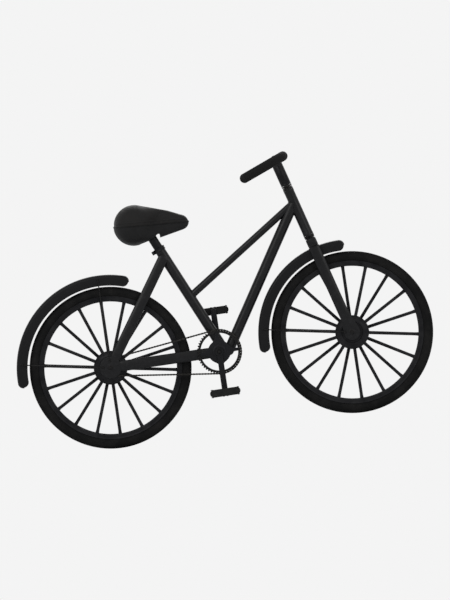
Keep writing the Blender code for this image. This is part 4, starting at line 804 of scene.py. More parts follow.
def hub(prefix, centre, body):
    """The hub shell with its dust caps; the rear one is a coaster hub's, with cooling ribs."""
    if prefix == "front":
        half = mm(10, 42, 16.5, 42, 17.8, 41.2, 18, 37.5, 20, 36.8, 20, 29, 18.5, 27, 15.8, 23, 15, 15)
        reach, cap_r, sides = 0.0420, 0.0155, (1, -1)
    else:
        half = mm(10, 38, 25.5, 38, 26.8, 37.2, 27, 35.2, 28, 34.8, 28, 24, 27.2, 23.4, 27.2, 21, 28, 20.4,
                  28, 18, 27.2, 17.4, 27.2, 15, 28, 14.4, 28, 6, 27.5, 5.4)
        reach, cap_r, sides = 0.0380, 0.0215, (1,)
    fit(prefix + "_hub_full", [spun(centre, both_ways(half), 1, 72)], ALLOY, body)
    cap = [(0.0092, reach - 0.002), (cap_r, reach - 0.002), (cap_r, reach + 0.0012),
           (cap_r - 0.0012, reach + 0.0022), (0.0110, reach + 0.0026), (0.0092, reach + 0.0026)]
    fit(prefix + "_dust_caps", [spun(centre, cap, side) for side in sides], STEEL, body)


def axle(prefix, centre, body, space, end_thickness):
    """The threaded axle with its cones, lock nuts, washers and axle nuts."""
    half = space / 2 + end_thickness
    inside = space / 2 - 0.0003
    low = inside - 0.0162
    cone = [(0.0048, low), (0.0070, low), (0.0085, low + 0.003), (0.0085, low + 0.0085),
            (0.0048, low + 0.0085)]
    made = [cross_bar(centre, 0.005, -half, half)]
    for _, side in SIDES:
        made.append(spun(centre, cone, side, 32))
        made += hex_head(outward(centre, low + 0.0089, side), 0.0146, inside - low - 0.0102, 0.0012)
        place = outward(centre, half + 0.0003, side)
        made += hex_head(place, 0.0168, 0.0062, 0.0014)
        made.append(threads(place @ shift(0, 0, 0.0070), 0.0046, 0.0027))
    fit(prefix + "_axle_full", made, STEEL, body)


for prefix, centre, hub_r in (("front", FRONT, 0.020), ("rear", REAR, 0.028)):
    tyre(prefix, centre, prefix + "_wheel")
    rim(prefix, centre, prefix + "_wheel")
    spokes(prefix, centre, prefix + "_wheel", hub_r)
    hub(prefix, centre, prefix + "_wheel")
axle("front", FRONT, "fork", 0.100, 0.005)
axle("rear", REAR, "frame", 0.120, 0.006)


# Mudguards

GUARD_CROWN = mm(0, 0, 6, 0.1, 12, 0.4, 17, 0.9, 21.2, 2, 24.8, 4.2, 27.4, 7.3, 28.9, 10.8, 29.4, 13.8)
GUARD_WALL = 0.002
GUARD_TIP_CROWN = 0.22
HEM_R = 0.0017


def mudguard(prefix, centre, body, first, last):
    """A crowned channel, open below, its rounded tips bent down, with a hem rolled round its edge."""
    half = (GUARD_OUTER_R - GUARD_INNER_R) / 2
    half_width, depth = GUARD_CROWN[-1]
    quarter = math.pi / 2

    def row(angle, bend, wall):
        """From one skirt's edge over the crown to the other's; the bend goes to a quarter turn at a tip."""
        out = polar((0, 0, 0), 1, math.degrees(angle))
        onward = Vector((-out.z, 0, out.x)) * (1 if bend > 0 else -1)
        bend = abs(bend)
        middle = centre + GUARD_SHIFT + out * (GUARD_INNER_R + half)
        crown_way = out * math.cos(bend) + onward * math.sin(bend)
        skirt_way = onward * math.sin(bend) - out * math.cos(bend)
        drop = 1 - (1 - GUARD_TIP_CROWN) * bend / quarter
        edge = half - (wall + depth * GUARD_TIP_CROWN) * math.sin(bend)
        narrow = 1 - wall / half_width
        side = [(y * narrow, middle + crown_way * (half - wall - inset * drop)) for y, inset in GUARD_CROWN]
        side.append((half_width * narrow, middle + skirt_way * edge))
        return [point - aside(y) for y, point in reversed(side)] + [point + aside(y) for y, point in side[1:]]

    low, high = math.radians(first), math.radians(last)
    steps, tip_steps = 96, 8
    stations = [(low, -quarter * k / tip_steps) for k in range(tip_steps, 0, -1)]
    stations += [(low + (high - low) * k / steps, 0) for k in range(steps + 1)]
    stations += [(high, quarter * k / tip_steps) for k in range(1, tip_steps + 1)]
    outer, inner = ([row(angle, bend, wall) for angle, bend in stations] for wall in (0, GUARD_WALL))
    fit(prefix + "_mudguard_full", [lined(outer, inner)], GUARD_PLASTIC, body)
    edge = [outer[a][b].lerp(inner[a][b], 0.55) for a, b in edge_of(len(outer), len(outer[0]))]
    path = [p for p, before in zip(edge, edge[-1:] + edge) if (p - before).length > 0.0008]
    fit(prefix + "_mudguard_hem", [swept(path, circle(HEM_R, 10), closed=True)], GUARD_PLASTIC, body)


def rounded_path(corners, radius, steps=6):
    """A path through corners that are rounded off."""
    path = [corners[0]]
    for before, corner, after in zip(corners, corners[1:], corners[2:]):
        reach = min(radius, (corner - before).length * 0.45, (after - corner).length * 0.45)
        first = corner + (before - corner).normalized() * reach
        last = corner + (after - corner).normalized() * reach
        for t in (k / steps for k in range(steps + 1)):
            path.append(first * (1 - t) ** 2 + corner * 2 * t * (1 - t) + last * t ** 2)
    return path + [corners[-1]]


def with_mirror(half):
    """Half a path and then its mirror image; a point in the middle plane isn't doubled."""
    return half + [Vector((p.x, -p.y, p.z)) for p in reversed(half) if p.y]


def guard_stay(name, centre, body, degrees, foot_y):
    """A bent wire over the tyre, with an eye and a bolt at each foot and a clip on each guard side."""
    beside = 0.0345
    side = [polar(centre, r, degrees, y) for r, y in ((0.033, foot_y), (0.056, foot_y),
                                                      (GUARD_STAY_TOP - 0.006, beside),
                                                      (GUARD_STAY_TOP, beside - 0.006))]
    wire = [swept(rounded_path(with_mirror(side), 0.006), circle(0.0025, 14))]
    ahead = polar((0, 0, 0), 1, degrees)
    bolts, clips = [], []
    for _, hand in SIDES:
        place = along(polar(centre, 0.032, degrees, hand * (foot_y - 0.0018)), (0, hand, 0), ahead)
        wire.append(turned(mm(2.7, 0, 5.8, 0, 6.2, 1.8, 5.8, 3.6, 2.7, 3.6), place, 28))
        bolts += hex_head(place @ shift(0, 0, 0.0036), 0.008, 0.0030, 0.0008)
        grip = polar(centre, GUARD_STAY_TOP, degrees, hand * 0.0299)
        clips.append(turned(mm(0, 0, 6.2, 0, 6.2, 0.6, 4.6, 1.8, 2.6, 2, 0, 2),
                            along(grip, (0, hand, 0), ahead), 28))
    fit(name + "_full", wire, STEEL, body)
    fit(name + "_bolts", bolts, STEEL, body)
    fit(name + "_clips", clips, GUARD_PLASTIC, body)


mudguard("front", FRONT, "fork", 89.8, 181.4)
mudguard("rear", REAR, "frame", 72.7, 181.5)
guard_stay("front_guard_stay", FRONT, "fork", 170, 0.0578)
guard_stay("rear_guard_stay_upper", REAR, "frame", 90, 0.0688)
guard_stay("rear_guard_stay_lower", REAR, "frame", 170, 0.0688)


# Frame

SEAT_TUBE = (seat_axis(AXLE_HEIGHT), SEAT_AXIS, SEAT_TUBE_R)
HEAD_TUBE = (steer(HEAD_BOTTOM), STEER_AXIS, HEAD_TUBE_R)
LUG = (LUG_CENTRE, Vector((0, 1, 0)), 0.0225)


def stay_line(side, end):
    """Where a stay starts on a side, its direction to its end and how far that is."""
    foot = REAR + aside(side * 0.063)
    return foot, (end - foot).normalized(), (end - foot).length


def stay_ends(side):
    """Where the chain stay and the seat stay of a side lead to."""
    return CRANK + aside(side * 0.027), seat_axis(SEAT_STAY_TOP) + aside(side * 0.025)


def main_tubes():
    """Head, seat, down and top tube, mitred into each other, with a weld round each joint."""
    length = HEAD_TOP - HEAD_BOTTOM
    half = mm(20.5, 0, 23.15, 0, 23.15, 9, 22.6, 10.5)
    head = column(HEAD_BOTTOM, half + [(r, length - h) for r, h in reversed(half)])
    seat = coped(seat_axis(AXLE_HEIGHT + 0.020), seat_axis(SEAT_TUBE_TOP), SEAT_TUBE_R, wall=0.0024)
    joint, top_foot = steer(HEAD_JOINT), seat_axis(TOP_TUBE_FOOT)
    for name, made in (
            ("head", head), ("seat", seat),
            ("down", coped(LUG_CENTRE, joint, DOWN_TUBE_R, LUG, HEAD_TUBE)),
            ("top", coped(top_foot, joint, TOP_TUBE_R, SEAT_TUBE, HEAD_TUBE))):
        fit(name + "_tube_full", [made], ENAMEL, "frame")
    down, top = (joint - LUG_CENTRE).normalized(), (joint - top_foot).normalized()
    middle = (top_foot + joint) / 2
    welds = [weld((LUG_CENTRE + joint) / 2, down, DOWN_TUBE_R, HEAD_TUBE),
             weld(middle, top, TOP_TUBE_R, HEAD_TUBE), weld(middle, -top, TOP_TUBE_R, SEAT_TUBE)]
    fit("frame_welds", welds, ENAMEL, "frame")


def bracket_shell():
    """The bottom bracket shell and the lug that takes the seat and down tubes."""
    half = mm(18, -36.5, 25.8, -36.5, 27, -35.3, 27, -29, 26.2, -28.2)
    fit("bottom_bracket_shell_full", [spun(CRANK, both_ways(half), 1, 72)], ENAMEL, "frame")
    body = plate([belt(CRANK, 0.0262, LUG_CENTRE, 0.0228)], -0.025, 0.025, 0.005, edge_steps=4)
    fit("bottom_bracket_lug", carved([body], cross_bar(CRANK, 0.0182, -0.05, 0.05, 48)), ENAMEL, "frame")


def stay(name, path, sizes, body, *more):
    """An oval stay or blade, with whatever else is one with it."""
    facing = Vector((0, 1, 0)).cross((path[-1] - path[0]).normalized()).normalized()
    fit(name + "_full", [ovals(path, sizes, facing, 40), *more], ENAMEL, body)


def rear_stays():
    """Oval chain and seat stays, pressed flat where they meet the round dropout plates."""
    for word, side in SIDES:
        lower, upper = stay_ends(side)
        foot, ahead, length = stay_line(side, lower)
        steps = (0.020, 0.034, 0.044, 0.056, 0.070, 0.2, length - 0.0565, length - 0.0225)
        stay("chain_stay_" + word, [foot + ahead * d for d in steps],
             mm(13, 3.6, 18, 4, 21.2, 5.2, 23, 6.6, 23.75, 7.5, 23.75, 7.5, 23.75, 7.5, 22.5, 7), "frame")
        foot, ahead, length = stay_line(side, upper)
        steps = [(d, 0) for d in (0.022, 0.034, 0.046, 0.060, 0.075, 0.25, length - 0.060)]
        steps += [(length - 0.030, 0.0006), (length - 0.012, 0.0014), (length - 0.003, 0.0018),
                  (length + 0.002, 0.0018)]
        stay("seat_stay_" + word, [foot + ahead * d + aside(side * y) for d, y in steps],
             mm(13, 3.6, 17.5, 4, 20.4, 5.2, 21.8, 6.6, 22.35, 7.5, 22.35, 7.5, 22.35, 7.5, 22.35, 6.8,
                22.2, 6, 19, 5, 12, 3), "frame")


def end_plate(centre, outline, low, high, edge, face_r, side):
    """A plate round an axle hole, with a raised face round the hole."""
    hole_r = AXLE_HOLE_R + 0.0003
    face = [(hole_r, high - 0.0005), (face_r, high - 0.0005), (face_r, high + 0.0001),
            (face_r - 0.0005, high + 0.0003), (hole_r, high + 0.0003)]
    return [plate([outline, disc(centre, AXLE_HOLE_R, 24)], side * low, side * high, edge),
            spun(centre, face, side)]


def small_frame_pieces():
    """Dropouts, the seat stays' bridge, the kickstand plate, and the seat collar with its bolt."""
    for word, side in SIDES:
        made = end_plate(REAR, disc(REAR, 0.048, 96), 0.060, 0.066, 0.0016, 0.0165, side)
        fit(f"dropout_{word}_full", made, ENAMEL, "frame")
    foot, ahead, _ = stay_line(1, stay_ends(1)[1])
    point = foot + ahead * 0.400
    bridge = [cross_bar(point, 0.008, 0.006 - point.y, point.y - 0.006, 40)]
    bridge += [spun(point, mm(7.8, 29, 11, 33.5, 11, 36, 7.8, 36), side, 32) for side in (1, -1)]
    fit("seat_stay_bridge_full", bridge, ENAMEL, "frame")
    low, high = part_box("kickstand_plate")
    outline = mm(-22, -30, -17, -33, 17, -33, 22, -30)
    outline += [(-x, -y) for x, y in outline]
    flat = plate([outline, circle(0.0055, 24)], -0.003, 0.003, 0.0008, Matrix.Translation((low + high) / 2))
    fit("kickstand_plate_full", [flat], ENAMEL, "frame")
    place = along(seat_axis(SEAT_TUBE_TOP) - SEAT_AXIS * 0.014, SEAT_AXIS)
    collar = [turned(mm(23, 0, 25.2, 0, 26.2, 1, 26.2, 4.5, 25.6, 5.5, 25.6, 12.5, 26.2, 13.5, 26.2, 17,
                        25.2, 18, 20.8, 18, 20.8, 14.5, 23, 14.5), place, 72)]
    collar += [block((0.0125, 0.0062, 0.0168), place @ shift(-0.0316, hand * 0.0047, 0.009), 0.0012)
               for hand in (1, -1)]
    fit("seat_collar_full", collar, ALLOY, "frame")
    spot = place @ shift(-0.0330, 0, 0.009)
    bolt = [bar(spot @ aside(-0.0095), spot @ aside(0.0095), 0.0028, 20)]
    bolt += socket_head(spot @ outward((0, 0, 0), 0.0079, 1), 0.0045, 0.0042)
    bolt += hex_head(spot @ outward((0, 0, 0), 0.0079, -1), 0.0078, 0.0036)
    fit("seat_collar_bolt", bolt, STEEL, "frame")


main_tubes()
bracket_shell()
rear_stays()
small_frame_pieces()


# Headset and fork

def headset():
    """Lower and upper cups with their races, and the eight-sided lock nut over its washer."""
    lower = mm(14.8, 0.3, 21.5, 0.3, 22.2, 1, 22.2, 3.8, 21.4, 4.4, 21.4, 5.2, 22.6, 5.8, 23.15, 7.5,
               23.15, 14.2, 14.8, 14.2)
    upper = mm(14.8, 0.3, 23.15, 0.3, 23.15, 5.6, 22.6, 7, 21.4, 7.8, 21.4, 8.6, 22.2, 9.2, 22.2, 10.8,
               21.6, 11.2, 14.8, 11.2)
    fit("headset_cup_lower_full", [column(CROWN_TOP, lower)], STEEL, "frame")
    fit("headset_cup_upper_full", [column(HEAD_TOP, upper)], STEEL, "frame")
    washer = column(LOCK_NUT_BOTTOM, mm(14.7, 0.3, 21.8, 0.3, 22.2, 0.7, 22.2, 2, 14.7, 2))
    nut = column(LOCK_NUT_BOTTOM, mm(14.7, 2.2, 22, 2.2, 23.15, 3.4, 23.15, 8.4, 22.2, 9.7, 14.7, 9.7), 8)
    fit("headset_lock_nut_full", [washer, nut], STEEL, "fork")


def fork():
    """Crown and race, straight oval blades with flat ends and a weld at the crown, and the steerer."""
    place = along(steer((CROWN_BOTTOM + CROWN_TOP) / 2), STEER_AXIS)
    bore = bar(steer(CROWN_BOTTOM - 0.01), steer(CROWN_TOP + 0.01), 0.0146, 48)
    fit("fork_crown_full", carved([block((0.046, 0.121, 0.042), place, 0.0085, 5)], bore), ENAMEL, "fork")
    race = column(CROWN_TOP - 0.0006, mm(14.7, 0, 22.5, 0, 21.5, 0.8, 14.7, 0.8))
    fit("fork_crown_race", [race], STEEL, "fork")
    end_outline, beads = belt(FRONT, 0.036, steer(0.080), 0.022), []
    for word, side in SIDES:
        steps = (0.040, 0.054, 0.066, 0.080, 0.096, 0.25, CROWN_BOTTOM + 0.002)
        fork_end = end_plate(FRONT, end_outline, 0.050, 0.055, 0.0014, 0.0150, side)
        stay("fork_blade_" + word, [steer(d) + aside(side * BLADE_Y) for d in steps],
             mm(15, 3, 19.2, 3.4, 21.8, 4.8, 23.1, 6.6, 23.5, 8, 23.5, 8, 23.5, 8), "fork", *fork_end)
        root = steer(CROWN_BOTTOM + 0.0006) + aside(side * BLADE_Y)
        turn = along(root, STEER_AXIS)
        loop = [turn @ Vector((0.0237 * x, 0.0082 * y, 0)) for x, y in circle(1, 72)]
        beads.append(bead(loop, root, circle(0.0016, 8)))
    fit("fork_welds", beads, ENAMEL, "fork")
    low, high = CROWN_BOTTOM + 0.002, STEM_BOTTOM - 0.001
    tube = column(low, [(0.0121, 0), (0.0143, 0), (0.0143, high - low), (0.0121, high - low)], 48)
    fit("steerer_tube_full", [tube], STEEL, "fork")


# Stem, handlebar and grips

BAR_SHAPE = ((0.0, 0.0), (0.0, 0.0702), (0.0, 0.1193), (0.0256, 0.1930), (0.0897, 0.2877),
             (0.1923, 0.4211), (0.2481, 0.5614), (0.1987, 0.7123), (0.0128, 0.8421), (-0.2885, 0.9263),
             (-0.6410, 0.9754), (-1.0, 1.0))


def bar_point(forward, sideways):
    """A point of the handlebar's tilted plane, given in shares of its sweep and its half width."""
    forward *= BAR_SWEEP
    return steer(BAR_HEIGHT) + Vector((forward * math.cos(BAR_TILT), sideways * BAR_HALF_WIDTH,
                                       forward * math.sin(BAR_TILT)))


def smooth_path(knots, steps=10):
    """Points of a smooth curve through the knots."""
    curve = bpy.data.curves.new("path", "CURVE")
    curve.dimensions = "3D"
    curve.resolution_u = steps
    spline = curve.splines.new("BEZIER")
    spline.bezier_points.add(len(knots) - 1)
    for knot, point in zip(spline.bezier_points, knots):
        knot.co = point
        knot.handle_left_type = "AUTO"
        knot.handle_right_type = "AUTO"
    return [v.co.copy() for v in settled(loose("path", curve)).vertices]


def stem():
    """The stem's column, quill and bar clamp with its screws, and the handlebar with its collars."""
    body = column(STEM_BOTTOM, mm(0, -100, 10.6, -100, 11.1, -99.5, 11.1, 0.3, 22.2, 0.3, 23.15, 1.2,
                                  23.15, 6.8, 22.6, 7.6, 22.6, 8.6, 23.15, 9.4, 23.15, 93, 22.6, 93.8,
                                  22.6, 95, 23.15, 95.8, 23.15, 112, 22.2, 114.8, 19.6, 116, 0, 116))
    middle = steer(BAR_HEIGHT)
    half = mm(11.8, 26, 20.6, 26, 21.6, 25, 21.6, 22.2, 22.5, 21.4, 22.5, 1, 21.9, 0.4)
    fit("stem_full", [body, spun(middle, both_ways(half), 1, 72)], ALLOY, "stem")
    screws = []
    for side in (1, -1):
        for degrees in (-22, 52):
            spot = polar(middle, 0.0212, degrees, side * 0.0135)
            screws += socket_head(along(spot, polar((0, 0, 0), 1, degrees)), 0.0042, 0.0018)
    screws += socket_head(along(polar(middle, 0.0215, 105.8), STEER_AXIS), 0.0062, 0.0014)
    fit("stem_screws", screws, STEEL, "stem")
    path = smooth_path(with_mirror([bar_point(f, -s) for f, s in BAR_SHAPE[:0:-1]]))
    fit("handlebar_full", [swept(path, circle(BAR_R, 32))], ALLOY, "stem")
    collar = mm(11.2, 26.2, 13.5, 26.2, 14, 26.8, 13.2, 29, 11.2, 30)
    fit("bar_collars", [spun(middle, collar, side, 40) for side in (1, -1)], ALLOY, "stem")


def grips():
    """Thick sleeves over the bar's bends, ribbed for most of their length, with round ends."""
    for word, side in SIDES:
        path = smooth_path([bar_point(f, s * side) for f, s in BAR_SHAPE if s * BAR_HALF_WIDTH > GRIP_START])
        ahead = (path[-1] - path[-2]).normalized()
        path += [path[-1] + ahead * GRIP_R * k / 8 for k in range(1, 9)]
        sleeve = grown(RIBBED_SLEEVE, line_of(path, False), Radius=GRIP_R, Groove_pitch=0.0046,
                       Groove_depth=0.0011, Plain_end=0.019, Step=0.00046, Finish=GRIP_RUBBER)
        fit(f"grip_{word}_full", cleaned(sleeve), GRIP_RUBBER, "stem")
        flange = turned(mm(11.2, -1.5, 21.5, -1.5, 21.9, -0.8, 21.9, 2.2, 21.2, 3, 11.2, 3),
                        along(path[0], path[1] - path[0]))
        fit("grip_flange_" + word, [flange], GRIP_RUBBER, "stem")


headset()
fork()
stem()
grips()


# Drive

# Round seats between pointed teeth: shares of a tooth's turn, and radii from the pitch circle
TOOTH = ((-0.50, -0.0041), (-0.40, -0.0037), (-0.32, -0.0024), (-0.25, -0.0004), (-0.16, 0.0012),
         (-0.07, 0.0020), (0.07, 0.0020), (0.16, 0.0012), (0.25, -0.0004), (0.32, -0.0024), (0.40, -0.0037))


def toothed(centre, pitch_r, teeth, turn, bore_r, bore_steps):
    """A chainring or sprocket on the chain line."""
    outline = [polar(centre, pitch_r + radius, math.degrees(turn + 2 * math.pi / teeth * (tooth + share)))
               for tooth in range(teeth) for share, radius in TOOTH]
    return plate([[(p.x, p.z) for p in outline], disc(centre, bore_r, bore_steps)],
                 -CHAIN_LINE - TOOTH_HALF, -CHAIN_LINE + TOOTH_HALF, 0.0004, edge_steps=1)


def chain_line():
    """The line through the chain's rollers, from behind the sprocket round the chainring and back."""
    outline = belt(REAR, SPROCKET_PITCH_R, CRANK, CHAINRING_PITCH_R, 90)
    path = [Vector((x, -CHAIN_LINE, z)) for x, z in outline]
    behind = 40
    return path[-behind:] + path[:-behind]


def chain():
    """110 links, narrow inner plates with their rollers and wide outer plates with their pins."""
    half = CHAIN_PITCH / 2
    ends = belt((-half, 0, 0), 0.0041, (half, 0, 0), 0.0040, 6)
    waist = [(x, z * (0.80 if abs(x) < half * 0.6 else 1)) for x, z in ends] + mm(0, 3, 0, -3)
    upper = sorted((p for p in waist if p[1] > 0), key=lambda p: p[0])
    lower = sorted((p for p in waist if p[1] < 0), key=lambda p: -p[0])

    def links(y, bar_r, bar_y, steps, edge):
        """Two plates this far aside, and the two rollers or pins in them."""
        plates = [skin([[Vector((x, middle + offset, z)) for x, z in upper + lower]
                        for offset in (-0.0004, 0.0004)], True) for middle in (-y, y)]
        return plates + [cross_bar((x, 0, 0), bar_r, -bar_y, bar_y, steps, edge) for x in (-half, half)]

    inner = row_of(ALONG_A_CHAIN, links(0.0021, 0.0036, 0.0016, 10, 0), chain_line(), CHAIN_LINKS,
                   CHAIN_STEEL, 2, 0)
    fit("chain_inner_links", inner, CHAIN_STEEL, "frame", stands_for="chain")
    outer = row_of(ALONG_A_CHAIN, links(0.0032, 0.0018, 0.0042, 8, 0.0003), chain_line(), CHAIN_LINKS,
                   CHAIN_STEEL, 2, 1)
    fit("chain_outer_links", outer, CHAIN_STEEL, "frame")


def upright_belt(one, upper_r, other, lower_r):
    """A belt round two points, of which the upper one may be either."""
    upper, lower = sorted((one, other), key=lambda p: -p.z)
    return belt(upper, upper_r, lower, lower_r)


def crank_arms():
    """The arms with a groove along their outer faces, their bosses and bolts, and the spindle."""
    inner, outer, spindle_end = 0.0525, 0.0665, 0.0655
    boss = mm(8.8, 42, 17.6, 42, 19, 43.4, 19, 66.6, 17.8, 68, 12.8, 68, 12.4, 66.4, 8.8, 66.4)
    for word, side in SIDES:
        end, top, tip = (CRANK + Vector((0, 0, side * d)) for d in (CRANK_LENGTH, 0.032, 0.155))
        arm = plate([upright_belt(CRANK, 0.01295, end, 0.01295)], side * inner, side * outer, 0.003,
                    edge_steps=3)
        groove = plate([upright_belt(top, 0.0068, tip, 0.0056)], side * (outer - 0.0016),
                       side * (outer + 0.004), 0.0004)
        arm = carved([arm], groove, cross_bar(end, 0.0068, -0.1, 0.1, 32, 0))
        fit("crank_arm_" + word, arm, PLATE_ALLOY, "cranks", stands_for="crank_" + word)
        fit("crank_boss_" + word, [spun(CRANK, boss, side, 64)], ALLOY, "cranks")
        bolt = hex_head(outward(CRANK, spindle_end, side), 0.0150, 0.0052, 0.0010)
        fit("crank_bolt_" + word, bolt, STEEL, "cranks")
    fit("crank_spindle_full", [cross_bar(CRANK, 0.0085, -spindle_end, spindle_end)], STEEL, "cranks")


def spider_and_ring():
    """The spider, the toothed ring that it carries and the four bolts that hold it."""
    roots = [polar((0, 0, 0), r, degrees) for degrees, r in ((-45, 0.051), (-32, 0.051), (-22, 0.0515),
                                                             (-15.5, 0.054))]
    half = [(p.x, p.z) for p in roots] + mm(60, -9.2, 70, -7.4, 82, -7, 88.5, -6.6, 90.8, -4.5, 91.2, -1.5)
    arm = half + [(x, -z) for x, z in reversed(half[1:])]
    outline = []
    for _ in range(4):
        outline += [(CRANK.x + x, CRANK.z + z) for x, z in arm]
        arm = [(-z, x) for x, z in arm]
    face = -(CHAIN_LINE + 0.0015)
    spider = plate([outline, disc(CRANK, 0.0188, 48)], face - 0.0053, face, 0.0011)
    step = mm(18.5, 48.5, 30, 48.5, 30, 54, 28, 55.6, 24, 56.2, 18.5, 56.2)
    fit("crank_spider", [spider, spun(CRANK, step, -1, 64)], PLATE_ALLOY, "cranks")
    lip = mm(83.2, 43.8, 88, 43.8, 88.4, 44.2, 88.4, 45, 83.2, 45)
    ring = toothed(CRANK, CHAINRING_PITCH_R, RING_TEETH, 0, 0.0831, 96)
    fit("chainring_full", [ring, spun(CRANK, lip, -1, 96)], STEEL, "cranks")
    head = socket_head(outward((0, 0, 0), CHAIN_LINE + 0.0066, -1), 0.0044, 0.0016)
    fit("chainring_bolts", ring_of(head, 4, 0.0866, CRANK, STEEL), STEEL, "cranks")


def bracket_cups():
    """The cups screwed into the shell, each with a ring of low tabs for its key."""
    outline = mm(9, 19, 17.7, 19, 17.7, 36.8, 22, 36.8, 22.5, 37.3, 22.5, 39.2, 21.9, 39.8, 14, 39.8,
                 13.5, 38.8, 9, 38.8)
    for word, side in SIDES:
        fit(f"bracket_cup_{word}_full", [spun(CRANK, outline, side, 64)], STEEL, "frame")
        tab = stud(along((0, side * 0.0396, 0), (0, side, 0), (1, 0, 0)), 0.0042, 0.0050, 0.0010, 0.0003)
        fit("bracket_cup_notches_" + word, ring_of([tab], 8, 0.0180, CRANK, STEEL), STEEL, "frame")


def sprocket_and_driver():
    """The sprocket on its driver, with the groove and the snap ring that hold it."""
    line = chain_line()
    total = sum((a - b).length for a, b in zip(line, line[1:] + line[:1]))
    turn = sprocket_turn(line, total / CHAIN_LINKS)
    outline = mm(12.5, 38.6, 20, 38.6, 20, 47.8, 19.6, 48, 19.6, 48.6, 20, 48.8, 19.6, 50, 18, 50.2,
                 12.5, 50.2)
    ring = toothed(REAR, SPROCKET_PITCH_R, SPROCKET_TEETH, turn, 0.0195, 48)
    fit("rear_sprocket_full", [ring, spun(REAR, outline, -1, 64)], STEEL, "driver")


def sprocket_turn(line, pitch):
    """The angle of a tooth that leaves the rollers their places between the teeth."""
    spots, way, due = [], 0.0, pitch / 2
    for a, b in zip(line, line[1:] + line[:1]):
        step = (b - a).length
        while way + step >= due:
            spots.append(a.lerp(b, (due - way) / step))
            due += pitch
        way += step
    roller = min(spots, key=lambda p: p.x)
    return math.atan2(roller.z - REAR.z, roller.x - REAR.x) + math.pi / SPROCKET_TEETH


def brake_arm():
    """The coaster brake's arm, pressed with a rib, and the clip that ties it to the chain stay."""
    a, b, tip = (REAR + Vector((x, 0, 0)) for x in (0.030, 0.106, 0.125))
    arm = plate([belt(REAR, 0.0144, tip, 0.009), disc(REAR, 0.0088, 32), disc(tip, 0.0031, 16)],
                0.0425, 0.0455, 0.0007)
    rib = plate([belt(a, 0.0046, b, 0.0036)], 0.0450, 0.0464, 0.0006)
    fit("brake_arm_full", [arm, rib], STEEL, "frame")
    foot, ahead, _ = stay_line(1, stay_ends(1)[0])
    middle = foot + ahead * 0.130
    place = along(middle, ahead)
    loop = [place @ Vector((0.0246 * x, 0.0084 * y, 0)) for x, y in circle(1, 48)]
    strap = bead(loop, middle, mm(-0.6, -5.5, 0.6, -5.5, 0.6, 5.5, -0.6, 5.5))
    tab = block((0.010, 0.0022, 0.012), shift(tip.x + 0.0005, 0.0474, tip.z), 0.0006)
    fit("brake_arm_clip", [strap, tab], STEEL, "frame")
    bolt = hex_head(outward(tip, 0.0484, 1), 0.008, 0.0032, 0.0008)
    fit("brake_arm_bolt", bolt + hex_head(outward(tip, -0.0424, -1), 0.008, 0.0030), STEEL, "frame")


def pedals():
    """Platform pedals: a hollow body with two windows, rubber treads above and below, and its spindle."""
    cap = mm(0, 164, 9.2, 164, 9.8, 164.8, 9.8, 167.6, 8.8, 168.4, 5.2, 168.6, 0, 168.2)
    shaft = mm(0, 53, 6.4, 53, 6.4, 68.6, 9.6, 68.6, 10, 69, 10, 71.6, 9.6, 72, 6.3, 72, 6, 158, 4.5, 161.5,
               0, 161.5)
    reach = PEDAL_HALF_LENGTH - 0.01875
    for word, side in SIDES:
        end = CRANK + Vector((0, 0, side * CRANK_LENGTH))
        body = "pedal_" + word
        middle = side * (PEDAL_INNER_Y + PEDAL_OUTER_Y) / 2
        ends = [(end.x + reach * d, 0, end.z) for d in (-1, 1)]
        shell = plate([belt(ends[0], PEDAL_BODY_R, ends[1], PEDAL_BODY_R)], side * PEDAL_INNER_Y,
                      side * PEDAL_OUTER_Y, 0.0028, edge_steps=4)
        windows = [block((0.034, 0.068, 0.08), shift(end.x + d * 0.033, middle, end.z), 0.004, 4)
                   for d in (1, -1)]
        shell = carved([shell], *windows, cross_bar(end, 0.0069, -0.3, 0.3, 40, 0))
        fit(body + "_full", shell, PEDAL_PLASTIC, body)
        fit(body + "_treads", pedal_treads(end, middle), TYRE_RUBBER, body)
        screws = []
        for x in (-0.058, 0.058):
            for z in (0.0085, -0.0085):
                spot = outward(end + Vector((x, 0, z)), PEDAL_OUTER_Y - 0.0006, side)
                screws += socket_head(spot, 0.0030, 0.0014)
        fit(body + "_screws", screws, STEEL, body)
        fit(body + "_cap", [spun(end, cap, side, 40)], PEDAL_PLASTIC, body)
        flats = hex_head(outward(end, 0.0668, side), 0.0150, 0.0018)
        fit(f"pedal_spindle_{word}_full", [spun(end, shaft, side, 32)] + flats, STEEL, "cranks")


def pedal_treads(end, middle):
    """Rows of rubber ribs on both faces: tilted along the outer edges, flat beside the barrel."""
    made = []
    for face in (1, -1):
        for x, lean, width, height, sink in ((-0.0585, -0.28, 0.0100, 0.0030, 0.0019),
                                             (-0.0085, 0, 0.0078, 0.0018, 0.0004),
                                             (0.0085, 0, 0.0078, 0.0018, 0.0004),
                                             (0.0585, 0.28, 0.0100, 0.0030, 0.0019)):
            for row in range(-5, 6):
                spot = Vector((end.x + x, middle + row * 0.0078, end.z + face * (PEDAL_BODY_R - sink)))
                made.append(stud(along(spot, (lean, 0, face)), width, 0.0044, height))
    return made


chain()
crank_arms()
spider_and_ring()
bracket_cups()
sprocket_and_driver()
brake_arm()
pedals()


# Seat post and saddle

